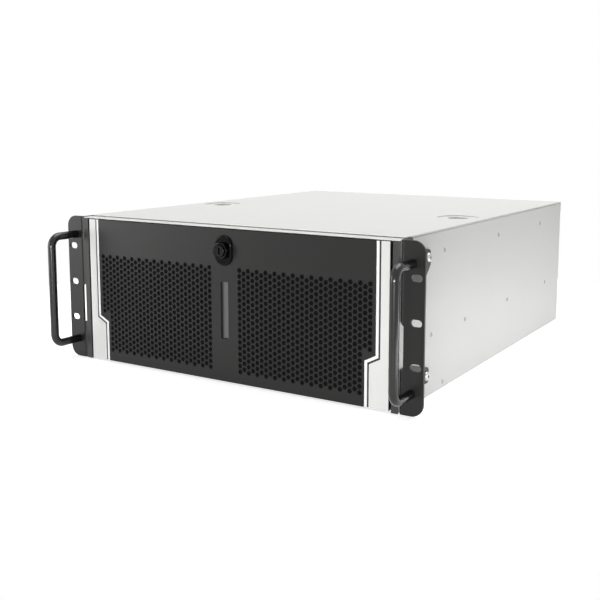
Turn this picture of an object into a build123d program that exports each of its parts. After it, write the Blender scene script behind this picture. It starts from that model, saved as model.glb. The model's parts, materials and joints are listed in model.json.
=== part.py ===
from build123d import *
import os
from math import cos, hypot, pi, sin, sqrt

# A four-unit rack server with a drop-down front door, for a row of graphics cards.
# Millimetres. X runs to the right, Y to the back, Z up. Everything is drawn with Y = 0 on the
# front plane of the rack ears, and moved at the end so that the origin is under the middle.

# Rack standard
UNIT = 44.45
UNITS = 4
HOLE_RISE = 6.35
EAR_SPAN = 482.6
HOLE_IN = 8.75

# Chassis
BODY_H = 177.0
BODY_D = 534.0
SHEET = 1.2
BEND = 2.0
FLANGE_W = 8.0
SLIDE_GAP = 0.3
SNUG = 0.05
RUN_FIT = 0.05
SIDE_GAP = 0.3

# Rack ears and handles
EAR_T = 2.5
EAR_REACH = 27.3
EAR_INSET = 0.8
EAR_BEND = 5.0
EAR_CORNER = 13.0
EAR_PLATE = 22.0
TAB_REACH = 67.0
TAB_H = 16.0
TAB_IN = 25.5
TAB_STEP = 16.0
TAB_CORNER = 4.0
TAB_EDGE = 6.0
TAB_HEAD_R = 5.0
SLOT_L = 12.0
SLOT_W = 7.5
NOTCH_H = 48.5
NOTCH_LOW = 46.0
NOTCH_W = 4.8
NOTCH_SLOPE = 4.0
HANDLE_ROD = 9.4
HANDLE_SPACING = 130.0
HANDLE_EDGE = 13.3
HANDLE_PROJ = 38.8
HANDLE_BEND = 12.0
HANDLE_BORE = 12.0

# Front door
DOOR_DEPTH = 13.0
DOOR_PROUD = 1.0
DOOR_LOW = 2.2
DOOR_HEAD = 0.8
DOOR_GAP = 2.7
SILL_GAP = 3.0
POST_W = 7.7
POST_PROUD = 0.5
POST_EDGE = 0.6
POST_LOW = 0.8
POST_LIP = 2.0
POST_SHY = 0.5
SKIN = 1.2
STRIPE_W = 3.0
GROOVE_W = 2.1
TRIM_UPPER = 9.6
JOG_IN = 12.7
JOG_TOP = 57.1
JOG_DROP = 6.5
HINGE_IN = 4.0
HINGE_UP = 4.8
PIN_R = 2.0
PIN_REACH = 8.0
PIN_SEAT = 5.0

# Perforated grille in the door skin
HOLE_PITCH = 13.34
HOLE_ACROSS = 9.6
GRILLE_IN = 15.5
GRILLE_LOW = 12.5
GRILLE_DROP = 43.5
GRILLE_EDGE = 3.0
FILTER_T = 8.0
FILTER_GAP = 0.3

# Badge recess, left bare
BADGE_W = 10.4
BADGE_HEAD = 35.0
BADGE_LOW = 50.7
BADGE_DEEP = 2.3
BADGE_T = 0.6

# Key lock
LOCK_DROP = 27.0
LOCK_OVAL_W = 26.0
LOCK_OVAL_H = 34.0
LOCK_OVAL_T = 3.0
BARREL_R = 9.5
BARREL_PROUD = 8.0
PLUG_R = 6.5
PLUG_PROUD = 9.0
KEYWAY_W = 2.0
KEYWAY_H = 8.0
KEYWAY_DEEP = 7.0
NUT_R = 13.0
NUT_T = 2.0
TAIL_R = 4.0
CAM_L = 20.0
CAM_W = 10.0
CAM_T = 2.0
CAM_BEHIND = 1.0
CAM_ROOM = 3.0

# Top cover
COVER_FRONT = 14.0
COVER_LIP = 14.0
HEM_H = 7.0
HEM_START = 40.0
HEM_END = 500.0
HEM_GAP = 0.8
DISH_R = 25.0
DISH_DEEP = 1.0
CORE_R = 12.5
CORE_DEEP = 3.0
DISH_IN = 36.0
DISH_Y = 229.0
THUMB_R = 5.0
THUMB_H = 7.0
THUMB_SHANK = 1.6
THUMB_REACH = 6.0
THUMB_IN = 24.0
THUMB_DROP = 8.0

# Side rivets: three rows, with the distances behind the ears
RIVET_DROP = 23.5
RIVETS_TOP = [108.0, 273.0, 436.0]
RIVET_MIDDLE = 66.5
RIVETS_MIDDLE = [77.0, 170.0, 311.0, 467.0]
RIVET_LOW = 8.0
RIVETS_LOW = [109.0]
RIVET_R = 1.6
RIVET_HEAD_R = 2.6
RIVET_HEAD_T = 0.7

# Screws
SCREW_R = 2.0
SCREW_HEAD_R = 4.0
SCREW_HEAD_T = 2.6
SMALL_SCREW_R = 1.5
SMALL_HEAD_R = 3.0
SMALL_HEAD_T = 2.0

# Fan wall and fans
WALL_Y = 205.0
WALL_HEAD = 15.1
FAN_GAP = 8.0
FAN_T = 38.0
FAN_SIDE = 20.8
FAN_RISE = 1.8
SMALL_FAN = 80.0
SMALL_FAN_T = 25.0
FAN_RIM = 2.0
FAN_TIP = 1.2
FAN_BLADES = 7
BLADE_CHORD = 0.21
BLADE_T = 0.014
BLADE_CAMBER = 0.07
BLADE_PITCH = 38
SHAFT_R = 2.0
HUB_SHARE = 0.38
HUB_PLATE = 4.0
HUB_RUN = 0.6
STRUT_W = 4.0
GUARD_T = 1.2
GUARD_W = 1.6

# Power supply
PSU_W = 86.0
PSU_HEAD = 23.1
PSU_D = 160.0
PSU_WALL = 1.0
PSU_SIDE = 2.0
PSU_LIP = 4.0
PSU_CORNER = 12.0
PSU_SCREW_IN = 6.0
PSU_FAN_SIDE = 3.0
PSU_FAN_DROP = 45.0
INLET_W = 27.0
INLET_H = 20.0
INLET_D = 22.0
INLET_WALL = 1.5
INLET_DEEP = 16.0
LEAD_WAY_R = 9.0

# Main board
BOARD_D = 244.0
BOARD_T = 1.6
BOARD_Z = 8.0
BOARD_SIDE = 29.8
BOARD_GAP = 2.8
BOARD_REAR = 0.3
BOARD_HOLE_IN = 6.5
BOARD_HOLE_REAR = 55.0
STANDOFF_R = 3.0
CPU_IN = 64.0
CPU_FRONT = 90.0
CPU_W = 58.0
CPU_D = 78.0
CPU_T = 7.0
SINK_W = 76.0
SINK_D = 100.0
SINK_H = 105.0
SINK_BASE = 9.0
SINK_FINS = 13
FIN_T = 1.2
DIMM_L = 133.0
DIMM_H = 31.0
DIMM_T = 3.6
DIMM_SOCKET_W = 6.5
DIMM_SOCKET_H = 8.0
DIMM_OFFSETS = [-54.0, -46.0, 46.0, 54.0]
PORTS = [(16.0, 14.0), (16.0, 14.0), (15.5, 16.0), (15.5, 16.0)]
PORT_ROW = 7.5
PORT_D = 20.0
PORT_DEEP = 14.0
PORT_WALL = 1.5
IO_W = 159.0
IO_H = 44.5
IO_LOW = 8.0
IO_SIDE = 1.0
IO_T = 0.8
IO_LIP = 2.0

# Expansion slots and graphics cards
SLOT_PITCH = 20.32
SLOT_FIRST = 41.0
SLOT_OPEN_W = 12.5
SLOT_OPEN_H = 104.0
SLOT_OPEN_LOW = 17.0
SLOT_RECESS = 12.0
SLOT_FRAME_SIDE = 9.8
SLOT_GAP = 1.0
BRACKET_T = 0.9
BRACKET_W = 18.4
BRACKET_TAB = 10.0
CARD_L = 262.0
CARD_T = 1.6
CARD_LOW = 15.0
CARD_H = 106.0
SHROUD_W = 35.0
SHROUD_WALL = 1.6
CARD_SLOT_STEP = 2
CARD_SOCKET_L = 89.0
CARD_SOCKET_W = 7.5
CARD_SOCKET_H = 11.0
CARD_SOCKET_Y = 130.0

# Drive cages
DRIVE_W = 101.6
DRIVE_L = 147.0
DRIVE_H = 26.1
DRIVE_PITCH = 31.0
DRIVE_FIT = 0.2
CAGE_T = 1.0
CAGE_X = 104.0
CAGE_BACK = 7.0

# Front switch board
FRONT_BOARD_X = (48.0, 168.0)
FRONT_BOARD_DROP = (36.0, 14.0)
FRONT_BOARD_OFF = 6.5
FRONT_STUD_R = 2.5
FRONT_STUD_IN = 4.0
BUTTON_R = 6.3
BUTTON_X = 152.0
RESET_R = 2.5
RESET_X = 136.0
BUTTON_FIT = 0.2
BUTTON_PROUD = 1.5
BUTTON_TRAVEL = 1.2
BUTTON_FLANGE = 1.6
BUTTON_LAND = 1.6
SWITCH_SIZE = 6.0
SWITCH_T = 1.8
LIGHTS_X = [108.0, 116.0, 124.0]
LIGHT_R = 1.5
USB_X = [64.0, 86.0]
USB_W = 13.2
USB_H = 5.8
USB_WALL = 0.5
USB_TONGUE = 1.8
PORT_FIT = 0.2
PORT_PROUD = 0.5

# Worked out from the sizes above
BODY_W = EAR_SPAN - 2 * EAR_REACH
HALF_W = BODY_W / 2
IN_W = HALF_W - SHEET
FLANGE_TOP = BODY_H - SHEET - SLIDE_GAP
FLANGE_LOW = FLANGE_TOP - SHEET
REAR = BODY_D - SHEET - SLIDE_GAP
REAR_IN = REAR - SHEET
DOOR_FRONT = -DOOR_PROUD
DOOR_BACK = DOOR_FRONT + DOOR_DEPTH
SKIN_BACK = DOOR_FRONT + SKIN
DOOR_HW = HALF_W - POST_W - DOOR_GAP
DOOR_TOP = FLANGE_LOW - DOOR_HEAD
PANEL_Y = DOOR_BACK + SILL_GAP
PANEL_BACK = PANEL_Y + SHEET
HINGE_Y = DOOR_FRONT + HINGE_IN
HINGE_Z = DOOR_LOW + HINGE_UP
UNIT_GAP = (UNITS * UNIT - BODY_H) / 2
HOLES_Z = [unit * UNIT + HOLE_RISE - UNIT_GAP for unit in range(1, UNITS)]
EAR_LOW = EAR_INSET
EAR_TOP = BODY_H - EAR_INSET
HOLE_SPAN = EAR_SPAN - 2 * HOLE_IN
EAR_TIP = EAR_SPAN / 2
HANDLE_X = EAR_TIP - HANDLE_EDGE
HANDLE_Z = [BODY_H / 2 - HANDLE_SPACING / 2, BODY_H / 2 + HANDLE_SPACING / 2]
TAB_SCREW_Y = TAB_REACH - TAB_EDGE
TAB_SCREWS_Z = [TAB_IN, BODY_H - TAB_IN]
NOTCH_TOP = NOTCH_LOW + NOTCH_H
WALL_FRONT = POST_LIP - POST_PROUD
LOCK_Z = BODY_H - LOCK_DROP
GRILLE_H = BODY_H - GRILLE_DROP - GRILLE_LOW
BADGE_H = LOCK_Z - BADGE_HEAD - BADGE_LOW
RIVET_ROWS = [(BODY_H - RIVET_DROP, RIVETS_TOP), (RIVET_MIDDLE, RIVETS_MIDDLE), (RIVET_LOW, RIVETS_LOW)]
RIVETS = [(y, z) for z, row in RIVET_ROWS for y in row]
DISH_X = HALF_W - DISH_IN
THUMB_X = HALF_W - THUMB_IN
SKIN_UPPER = DOOR_HW - TRIM_UPPER - GROOVE_W - STRIPE_W
SKIN_LOWER = SKIN_UPPER - JOG_IN
COVER_UNDER = FLANGE_TOP + SLIDE_GAP
PSU_X1 = IN_W - PSU_SIDE
PSU_X0 = PSU_X1 - PSU_W
PSU_MID = (PSU_X0 + PSU_X1) / 2
PSU_TOP = FLANGE_LOW - PSU_HEAD
PSU_Y0 = REAR_IN - PSU_D
PSU_FAN_Z = PSU_TOP - PSU_FAN_DROP
PSU_FAN = PSU_W - 2 * PSU_FAN_SIDE
INLET_Z = (SHEET + PSU_FAN_Z - PSU_FAN / 2) / 2
BOARD_X0 = -IN_W + BOARD_SIDE
BOARD_X1 = PSU_X0 - BOARD_GAP
SLOT_PLANE = REAR - SLOT_RECESS
BOARD_Y1 = SLOT_PLANE - SHEET - BOARD_REAR
BOARD_Y0 = BOARD_Y1 - BOARD_D
BOARD_TOP = BOARD_Z + BOARD_T
CPU_X = BOARD_X1 - CPU_IN
CPU_Y = BOARD_Y0 + CPU_FRONT
IO_X1 = BOARD_X1 - IO_SIDE
IO_X0 = IO_X1 - IO_W
SLOT_ROOM = IO_X0 - SLOT_GAP - SLOT_FRAME_SIDE + IN_W - SLOT_FIRST
SLOTS = int(SLOT_ROOM / SLOT_PITCH) + 1
SLOTS_X = [-IN_W + SLOT_FIRST + n * SLOT_PITCH for n in range(SLOTS)]
CARD_SLOTS = list(range(CARD_SLOT_STEP, SLOTS, CARD_SLOT_STEP))
SLOT_X0 = SLOTS_X[0] - SLOT_FRAME_SIDE
SLOT_X1 = SLOTS_X[-1] + SLOT_FRAME_SIDE
SLOT_SHELF = SLOT_OPEN_LOW + SLOT_OPEN_H + SHEET
CARD_END = SLOT_PLANE - SHEET - BRACKET_T
REAR_FAN_X = [IO_X0 + SMALL_FAN / 2 + SIDE_GAP, IO_X0 + 3 * SMALL_FAN / 2 + 2 * SIDE_GAP]
REAR_FAN_Z = IO_LOW + IO_H + IO_LIP + SMALL_FAN / 2 + SHEET
FAN_Y = WALL_Y + SHEET
WALL_TOP = FLANGE_LOW - WALL_HEAD
FAN_PITCH = (2 * IN_W - 2 * FAN_SIDE) / 3
FAN = FAN_PITCH - FAN_GAP
FAN_Z = (SHEET + WALL_TOP) / 2 + FAN_RISE
FANS_X = [-FAN_PITCH, 0.0, FAN_PITCH]
FRONT_BOARD_Y = PANEL_BACK + FRONT_BOARD_OFF
FRONT_BOARD_Z = [BODY_H - drop for drop in FRONT_BOARD_DROP]
FRONT_Z = sum(FRONT_BOARD_Z) / 2
CAM_Y = PANEL_BACK + CAM_BEHIND
CAGE_Y0 = PANEL_BACK + CAGE_BACK
CAGE_ROOM = FRONT_BOARD_Z[0] - SHEET - 2 * CAGE_T - (DRIVE_PITCH - DRIVE_H)
DRIVES = int(CAGE_ROOM / DRIVE_PITCH)
DEPTH_FRONT = HANDLE_PROJ + HANDLE_ROD / 2
DEPTH_REAR = BODY_D + THUMB_H
SHIFT_Y = (DEPTH_FRONT - DEPTH_REAR) / 2


# Shapes used all over the chassis

def slab(x, y, z):
    """Block between two places on each axis."""
    size = [high - low for low, high in (x, y, z)]
    middle = [(high + low) / 2 for low, high in (x, y, z)]
    return Pos(*middle) * Box(*size)


def rod_x(y, z, x, radius):
    """Round bar along X."""
    return Pos((x[0] + x[1]) / 2, y, z) * Rot(0, 90, 0) * Cylinder(radius, x[1] - x[0])


def rod_y(x, z, y, radius):
    """Round bar along Y."""
    return Pos(x, (y[0] + y[1]) / 2, z) * Rot(90, 0, 0) * Cylinder(radius, y[1] - y[0])


def rod_z(x, y, z, radius):
    """Round bar along Z."""
    return Pos(x, y, (z[0] + z[1]) / 2) * Cylinder(radius, z[1] - z[0])


def front_wire(points, y):
    """Closed outline in a plane that faces the front, from pairs of X and Z."""
    return Wire.make_polygon([Vector(x, y, z) for x, z in points], close=True)


def front_plate(points, y, holes=()):
    """Plate that faces the front, with outlines of holes given as pairs of X and Z."""
    face = Face(front_wire(points, y[0]), [front_wire(hole, y[0]) for hole in holes])
    return extrude(face, amount=y[1] - y[0], dir=(0, 1, 0))


def side_plate(points, x):
    """Plate that faces sideways, from pairs of Y and Z."""
    wire = Wire.make_polygon([Vector(x[0], y, z) for y, z in points], close=True)
    return extrude(Face(wire), amount=x[1] - x[0], dir=(1, 0, 0))


def folded_sheet(points, across, width, bend):
    """Sheet of even thickness folded along a line of points, as wide as given along an axis."""
    path = FilletPolyline(*points, radius=bend - SHEET / 2)
    plane = Plane(path @ 0, x_dir=across, z_dir=path % 0)
    return sweep(plane * Rectangle(width, SHEET), path=path)


def cross_sheet(y, top):
    """Upright sheet from wall to wall, with corners rounded to clear the folds of the tray."""
    sheet = slab((-IN_W, IN_W), (y, y + SHEET), (SHEET, top))
    return fillet(sheet.edges().filter_by(Axis.Y), BEND)


def oval_plate(width, height, z, y):
    """Upright oval plate on the middle line of the door."""
    face = Plane((0, y[1], z), x_dir=(1, 0, 0), z_dir=(0, -1, 0)) * SlotOverall(height, width, 90)
    return extrude(face, amount=y[1] - y[0])


def long_edges(part, axis, x=None, z=None, y=None):
    """Edges along an axis whose middle lies at the given places."""
    picked = part.edges().filter_by(axis)
    for letter, place in (("X", x), ("Y", y), ("Z", z)):
        if place is not None:
            picked = picked.filter_by(lambda e, k=letter, p=place: abs(getattr(e.center(), k) - p) < 0.01)
    return picked


def both_sides(part):
    """A right-hand piece and its mirror image."""
    return mirror(part, about=Plane.YZ), part


def group(solids):
    """Several loose pieces in one node."""
    return Compound([solid for piece in solids for solid in piece.solids()])


def screw_y(x, z, seat, length, radius, head_r, head_t, way):
    """Pan-head screw along Y: the head sits on the seat, on the side that way points to."""
    ends = sorted((seat, seat + way * head_t))
    shank = sorted((seat, seat - way * length))
    return rod_y(x, z, ends, head_r) + rod_y(x, z, shank, radius)


# Sheet-metal chassis

def base_tray():
    """Floor and side walls folded from one sheet, with flanged tops and walls that pass the posts."""
    wall = HALF_W - SHEET / 2
    lip = HALF_W - FLANGE_W
    low, high = SHEET / 2, FLANGE_TOP - SHEET / 2
    y = (PANEL_Y + REAR) / 2
    line = [(-lip, y, high), (-wall, y, high), (-wall, y, low), (wall, y, low), (wall, y, high),
            (lip, y, high)]
    tray = folded_sheet(line, (0, 1, 0), REAR - PANEL_Y, BEND)
    for cheek in both_sides(slab((IN_W, HALF_W), (WALL_FRONT, PANEL_Y), (BEND, FLANGE_LOW))):
        tray += cheek
    for y, z in RIVETS:
        tray -= rod_x(y, z, (-HALF_W, HALF_W), RIVET_R + SNUG)
    for z in TAB_SCREWS_Z:
        tray -= rod_x(TAB_SCREW_Y, z, (-HALF_W, HALF_W), SCREW_R + SNUG)
    return tray


def side_rivets():
    """Rivets that hold the inner brackets to the side walls."""
    rivets = []
    for y, z in RIVETS:
        shank = rod_x(y, z, (IN_W, HALF_W), RIVET_R)
        head = rod_x(y, z, (HALF_W, HALF_W + RIVET_HEAD_T), RIVET_HEAD_R)
        rivets += both_sides(shank + head)
    return group(rivets)


def lamp_places():
    """Pieces that show through the front panel: place and radius of each round hole."""
    round_holes = [(BUTTON_X, BUTTON_R + BUTTON_FIT), (RESET_X, RESET_R + BUTTON_FIT)]
    return round_holes + [(x, LIGHT_R + SNUG) for x in LIGHTS_X]


def grille_outline(inset):
    """Outline of the right-hand grille, held in from the edge of the skin."""
    drop = offset_drop(-inset)
    upper = SKIN_UPPER - inset
    lower = SKIN_LOWER - inset
    top = GRILLE_LOW + GRILLE_H
    return [(GRILLE_IN, GRILLE_LOW), (lower, GRILLE_LOW), (lower, JOG_TOP - JOG_DROP + drop),
            (upper, JOG_TOP + drop), (upper, top), (GRILLE_IN, top)]


def front_panel():
    """Inner front sheet behind the door, with two vents, the switch row and the lock's slot."""
    plate = cross_sheet(PANEL_Y, FLANGE_LOW)
    flange_x = HALF_W - FLANGE_W - SIDE_GAP
    flange_y = (PANEL_BACK, PANEL_BACK + COVER_LIP)
    plate += slab((-flange_x, flange_x), flange_y, (FLANGE_LOW - SHEET, FLANGE_LOW))
    for vent in both_sides(front_plate(grille_outline(GRILLE_EDGE), (PANEL_Y, PANEL_BACK))):
        plate -= vent
    slot_x = (-TAIL_R - CAM_ROOM, CAM_L + CAM_ROOM)
    slot_z = (LOCK_Z - CAM_W / 2 - CAM_ROOM, LOCK_Z + CAM_W / 2 + CAM_ROOM)
    plate -= slab(slot_x, (PANEL_Y, PANEL_BACK), slot_z)
    for x, radius in lamp_places():
        plate -= rod_y(x, FRONT_Z, (PANEL_Y, PANEL_BACK), radius)
    for x in USB_X:
        wide = USB_W / 2 + PORT_FIT
        high = USB_H / 2 + PORT_FIT
        plate -= slab((x - wide, x + wide), (PANEL_Y, PANEL_BACK), (FRONT_Z - high, FRONT_Z + high))
    for x in (FRONT_BOARD_X[0] + FRONT_STUD_IN, FRONT_BOARD_X[1] - FRONT_STUD_IN):
        plate += rod_y(x, FRONT_Z, (PANEL_BACK, FRONT_BOARD_Y), FRONT_STUD_R)
    return plate


def top_rail():
    """Fixed strip over the door, with a tongue that runs back under the cover."""
    rail = slab((-HALF_W, HALF_W), (POST_PROUD, PANEL_Y), (FLANGE_LOW, FLANGE_TOP))
    tongue_x = HALF_W - FLANGE_W - SIDE_GAP
    rail += slab((-tongue_x, tongue_x), (PANEL_Y, PANEL_BACK + COVER_LIP), (FLANGE_LOW, FLANGE_TOP))
    return rail


def psu_opening():
    """Hole in the rear panel for the face of the power supply, with cut corners for its screws."""
    x0, x1 = PSU_X0 + PSU_LIP, PSU_X1 - PSU_LIP
    z0, z1 = SHEET + PSU_LIP, PSU_TOP - PSU_LIP
    cut = PSU_CORNER
    return [(x0 + cut, z0), (x1 - cut, z0), (x1, z0 + cut), (x1, z1 - cut), (x1 - cut, z1),
            (x0 + cut, z1), (x0, z1 - cut), (x0, z0 + cut)]


def psu_screw_places():
    """The four corners where screws hold the power supply to the rear panel."""
    columns = (PSU_X0 + PSU_SCREW_IN, PSU_X1 - PSU_SCREW_IN)
    rows = (SHEET + PSU_SCREW_IN, PSU_TOP - PSU_SCREW_IN)
    return [(x, z) for x in columns for z in rows]


def fan_bore(size):
    """Radius of the round way through a fan."""
    return size / 2 - FAN_RIM


def rear_panel():
    """Back sheet with openings for the supply, the ports, the slot frame and two fans."""
    thick = (REAR_IN, REAR)
    panel = cross_sheet(REAR_IN, FLANGE_LOW)
    panel -= front_plate(psu_opening(), thick)
    panel -= slab((IO_X0, IO_X1), thick, (IO_LOW, IO_LOW + IO_H))
    panel -= slab((SLOT_X0, SLOT_X1), thick, (SHEET, SLOT_SHELF + BRACKET_TAB))
    for x in REAR_FAN_X:
        panel -= rod_y(x, REAR_FAN_Z, thick, fan_bore(SMALL_FAN))
    for x in (-THUMB_X, 0, THUMB_X):
        panel -= rod_y(x, BODY_H - THUMB_DROP, thick, THUMB_SHANK + BUTTON_FIT)
    for x, z in psu_screw_places():
        panel -= rod_y(x, z, thick, SMALL_SCREW_R + SNUG)
    return panel


def blank_slots():
    """Numbers of the slots that hold no card."""
    used = CARD_SLOTS + [slot - 1 for slot in CARD_SLOTS]
    return [slot for slot in range(SLOTS) if slot not in used]


def bracket_screw_places():
    """X of the screw in each bracket."""
    return [SLOTS_X[slot] for slot in CARD_SLOTS + blank_slots()]


def slot_frame():
    """Sunk plate on the floor with the expansion slots, a shelf for the bracket screws and two cheeks."""
    sunk = (SLOT_PLANE - SHEET, SLOT_PLANE)
    z = (SHEET, SLOT_SHELF)
    frame = slab((SLOT_X0, SLOT_X1), sunk, z)
    for x in SLOTS_X:
        opening = (x - SLOT_OPEN_W / 2, x + SLOT_OPEN_W / 2)
        frame -= slab(opening, sunk, (SLOT_OPEN_LOW, SLOT_OPEN_LOW + SLOT_OPEN_H - SHEET))
    deep = (SLOT_PLANE, REAR)
    frame += slab((SLOT_X0, SLOT_X1), deep, (SLOT_SHELF - SHEET, SLOT_SHELF))
    for x in (SLOT_X0, SLOT_X1 - SHEET):
        frame += slab((x, x + SHEET), deep, z)
    shelf = (SLOT_SHELF - SHEET, SLOT_SHELF)
    for x in bracket_screw_places():
        frame -= rod_z(x, SLOT_PLANE + BRACKET_TAB / 2, shelf, SMALL_SCREW_R + SNUG)
    return frame


# Rack ears and handles

def ear():
    """Right-hand ear: an angle with rack slots, a notch in its bend and two screw tabs."""
    x0 = HALF_W
    bend = x0 + EAR_BEND
    curves = [
        Line((x0, TAB_REACH), (x0, EAR_BEND)),
        CenterArc((bend, EAR_BEND), EAR_BEND, 180, 90),
        Polyline((bend, 0), (EAR_TIP, 0), (EAR_TIP, EAR_T), (bend, EAR_T)),
        CenterArc((bend, EAR_BEND), EAR_BEND - EAR_T, 180, 90),
        Polyline((x0 + EAR_T, EAR_BEND), (x0 + EAR_T, TAB_REACH), (x0, TAB_REACH)),
    ]
    profile = Face(Wire([edge for curve in curves for edge in curve.edges()]))
    angle = Pos(0, 0, EAR_LOW) * extrude(profile, amount=EAR_TOP - EAR_LOW, dir=(0, 0, 1))
    angle = fillet(long_edges(angle, Axis.Y, x=EAR_TIP), EAR_CORNER)
    plate = (x0, x0 + EAR_T)
    angle -= slab(plate, (EAR_BEND, TAB_REACH), (NOTCH_LOW, NOTCH_TOP))
    corners = ((EAR_LOW, -TAB_H / 2, NOTCH_LOW), (EAR_TOP, TAB_H / 2, NOTCH_TOP))
    for middle, (edge, half, waist) in zip(TAB_SCREWS_Z, corners):
        shoulder = [(EAR_PLATE, edge), (EAR_PLATE + TAB_STEP, middle + half), (TAB_REACH, middle + half),
                    (TAB_REACH, edge)]
        taper = [(EAR_PLATE, waist), (TAB_REACH, waist), (TAB_REACH, middle - half)]
        angle -= side_plate(shoulder, plate)
        angle -= side_plate(taper, plate)
    angle = fillet(long_edges(angle, Axis.X, y=TAB_REACH), TAB_CORNER)
    for z in HOLES_Z:
        slot = Plane((HOLE_SPAN / 2, EAR_T, z), x_dir=(1, 0, 0), z_dir=(0, -1, 0))
        angle -= extrude(slot * SlotOverall(SLOT_L, SLOT_W), amount=EAR_T)
    notch = [(x0, NOTCH_LOW), (x0 + NOTCH_W, NOTCH_LOW), (x0 + NOTCH_W, NOTCH_TOP - NOTCH_SLOPE),
             (x0, NOTCH_TOP)]
    angle -= front_plate(notch, (0, EAR_BEND))
    for z in HANDLE_Z:
        angle -= rod_y(HANDLE_X, z, (0, EAR_T), SCREW_R + SNUG)
    for z in TAB_SCREWS_Z:
        angle -= rod_x(TAB_SCREW_Y, z, plate, SCREW_R + SNUG)
    return angle


def handle():
    """Right-hand handle: a round bar bent twice, bored at both ends for its screws."""
    low, high = HANDLE_Z
    corners = [(HANDLE_X, 0, low), (HANDLE_X, -HANDLE_PROJ, low), (HANDLE_X, -HANDLE_PROJ, high),
               (HANDLE_X, 0, high)]
    path = FilletPolyline(*corners, radius=HANDLE_BEND)
    section = Plane(path @ 0, z_dir=path % 0) * Circle(HANDLE_ROD / 2)
    bar = sweep(section, path=path)
    for z in HANDLE_Z:
        bar -= rod_y(HANDLE_X, z, (-HANDLE_BORE, 0), SCREW_R + SNUG)
    return bar


def ear_screws():
    """Screws through the ear tabs into the side walls, and those that hold the handles."""
    screws = []
    seat = HALF_W + EAR_T
    for z in TAB_SCREWS_Z:
        screw = rod_x(TAB_SCREW_Y, z, (seat, seat + SCREW_HEAD_T), TAB_HEAD_R)
        screws += both_sides(screw + rod_x(TAB_SCREW_Y, z, (IN_W, seat), SCREW_R))
    for z in HANDLE_Z:
        length = EAR_T + HANDLE_BORE * 0.8
        screw = screw_y(HANDLE_X, z, EAR_T, length, SCREW_R, SCREW_HEAD_R, SCREW_HEAD_T, 1)
        screws += both_sides(screw)
    return group(screws)


# Front door

def offset_drop(out):
    """How far the corners of the stepped line fall when the line moves out by a width."""
    run = hypot(JOG_IN, JOG_DROP)
    along = -JOG_IN / run, -JOG_DROP / run
    normal = JOG_DROP / run, -JOG_IN / run
    return out * (normal[1] + (1 - normal[0]) * along[1] / along[0])


def stepped_line(out):
    """Stepped line between skin and trim, from the top of the door down, moved out by a width."""
    drop = offset_drop(out)
    upper = SKIN_UPPER + out
    lower = SKIN_LOWER + out
    return [(upper, DOOR_TOP), (upper, JOG_TOP + drop), (lower, JOG_TOP - JOG_DROP + drop),
            (lower, DOOR_LOW)]


def mirrored(points):
    """Outline points on the left-hand side, in reversed order."""
    return [(-x, z) for x, z in reversed(points)]


def grille_holes():
    """Six-sided holes in staggered columns over the right-hand grille."""
    radius = HOLE_ACROSS / sqrt(3)
    step = HOLE_PITCH * sqrt(3) / 2
    inset = GRILLE_EDGE + HOLE_ACROSS / 2
    high = GRILLE_LOW + GRILLE_H - HOLE_ACROSS / 2
    low_limit = JOG_TOP + HOLE_ACROSS / 2
    columns = int((SKIN_UPPER - inset - GRILLE_IN - radius) / step) + 1
    holes = []
    for column in range(columns):
        x = GRILLE_IN + radius + column * step
        z = high - (column % 2) * HOLE_PITCH / 2
        while z > GRILLE_LOW + HOLE_ACROSS / 2:
            if z > low_limit or x < SKIN_LOWER - inset:
                turns = [pi * corner / 3 for corner in range(6)]
                holes.append([(x + radius * cos(t), z + radius * sin(t)) for t in turns])
            z -= HOLE_PITCH
    return holes


def door_skin():
    """Perforated face of the door between the two stepped trims."""
    right = stepped_line(0)
    outline = right + mirrored(right)
    holes = grille_holes()
    holes += [mirrored(hole) for hole in holes]
    skin = front_plate(outline, (DOOR_FRONT, SKIN_BACK), holes)
    skin -= rod_y(0, LOCK_Z, (DOOR_FRONT, SKIN_BACK), BARREL_R + SNUG)
    skin -= slab((-BADGE_W / 2, BADGE_W / 2), (DOOR_FRONT, SKIN_BACK), (BADGE_LOW, BADGE_LOW + BADGE_H))
    return skin


def door_frame():
    """Moulded frame that carries the skin, the trims, the filters, the lock and the hinge bores."""
    deep = (SKIN_BACK, DOOR_BACK)
    frame = slab((-DOOR_HW, DOOR_HW), deep, (DOOR_LOW, DOOR_TOP))
    for window in both_sides(front_plate(grille_outline(GRILLE_EDGE), deep)):
        frame -= window
    frame -= rod_y(0, LOCK_Z, deep, BARREL_R + SNUG)
    pocket = (SKIN_BACK, DOOR_FRONT + BADGE_DEEP + BADGE_T)
    frame -= slab((-BADGE_W / 2, BADGE_W / 2), pocket, (BADGE_LOW, BADGE_LOW + BADGE_H))
    reach = (DOOR_HW - PIN_REACH - SIDE_GAP, DOOR_HW)
    for bore in both_sides(rod_x(HINGE_Y, HINGE_Z, reach, PIN_R + RUN_FIT)):
        frame -= bore
    return frame


def accent_stripe():
    """Right-hand stripe along the stepped edge of the skin."""
    points = stepped_line(0) + stepped_line(STRIPE_W)[::-1]
    return front_plate(points, (DOOR_FRONT, SKIN_BACK))


def side_trim():
    """Right-hand trim plate, outside a narrow groove beside the stripe."""
    edge = [(DOOR_HW, DOOR_LOW), (DOOR_HW, DOOR_TOP)]
    return front_plate(stepped_line(STRIPE_W + GROOVE_W) + edge, (DOOR_FRONT, SKIN_BACK))


def dust_filter():
    """Right-hand foam pad that fills its window in the door frame."""
    outline = grille_outline(GRILLE_EDGE + FILTER_GAP)
    low, high = GRILLE_LOW + FILTER_GAP, GRILLE_LOW + GRILLE_H - FILTER_GAP
    inner = GRILLE_IN + FILTER_GAP
    points = [(max(x, inner), min(max(z, low), high)) for x, z in outline]
    return front_plate(points, (SKIN_BACK, SKIN_BACK + FILTER_T))


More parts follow.
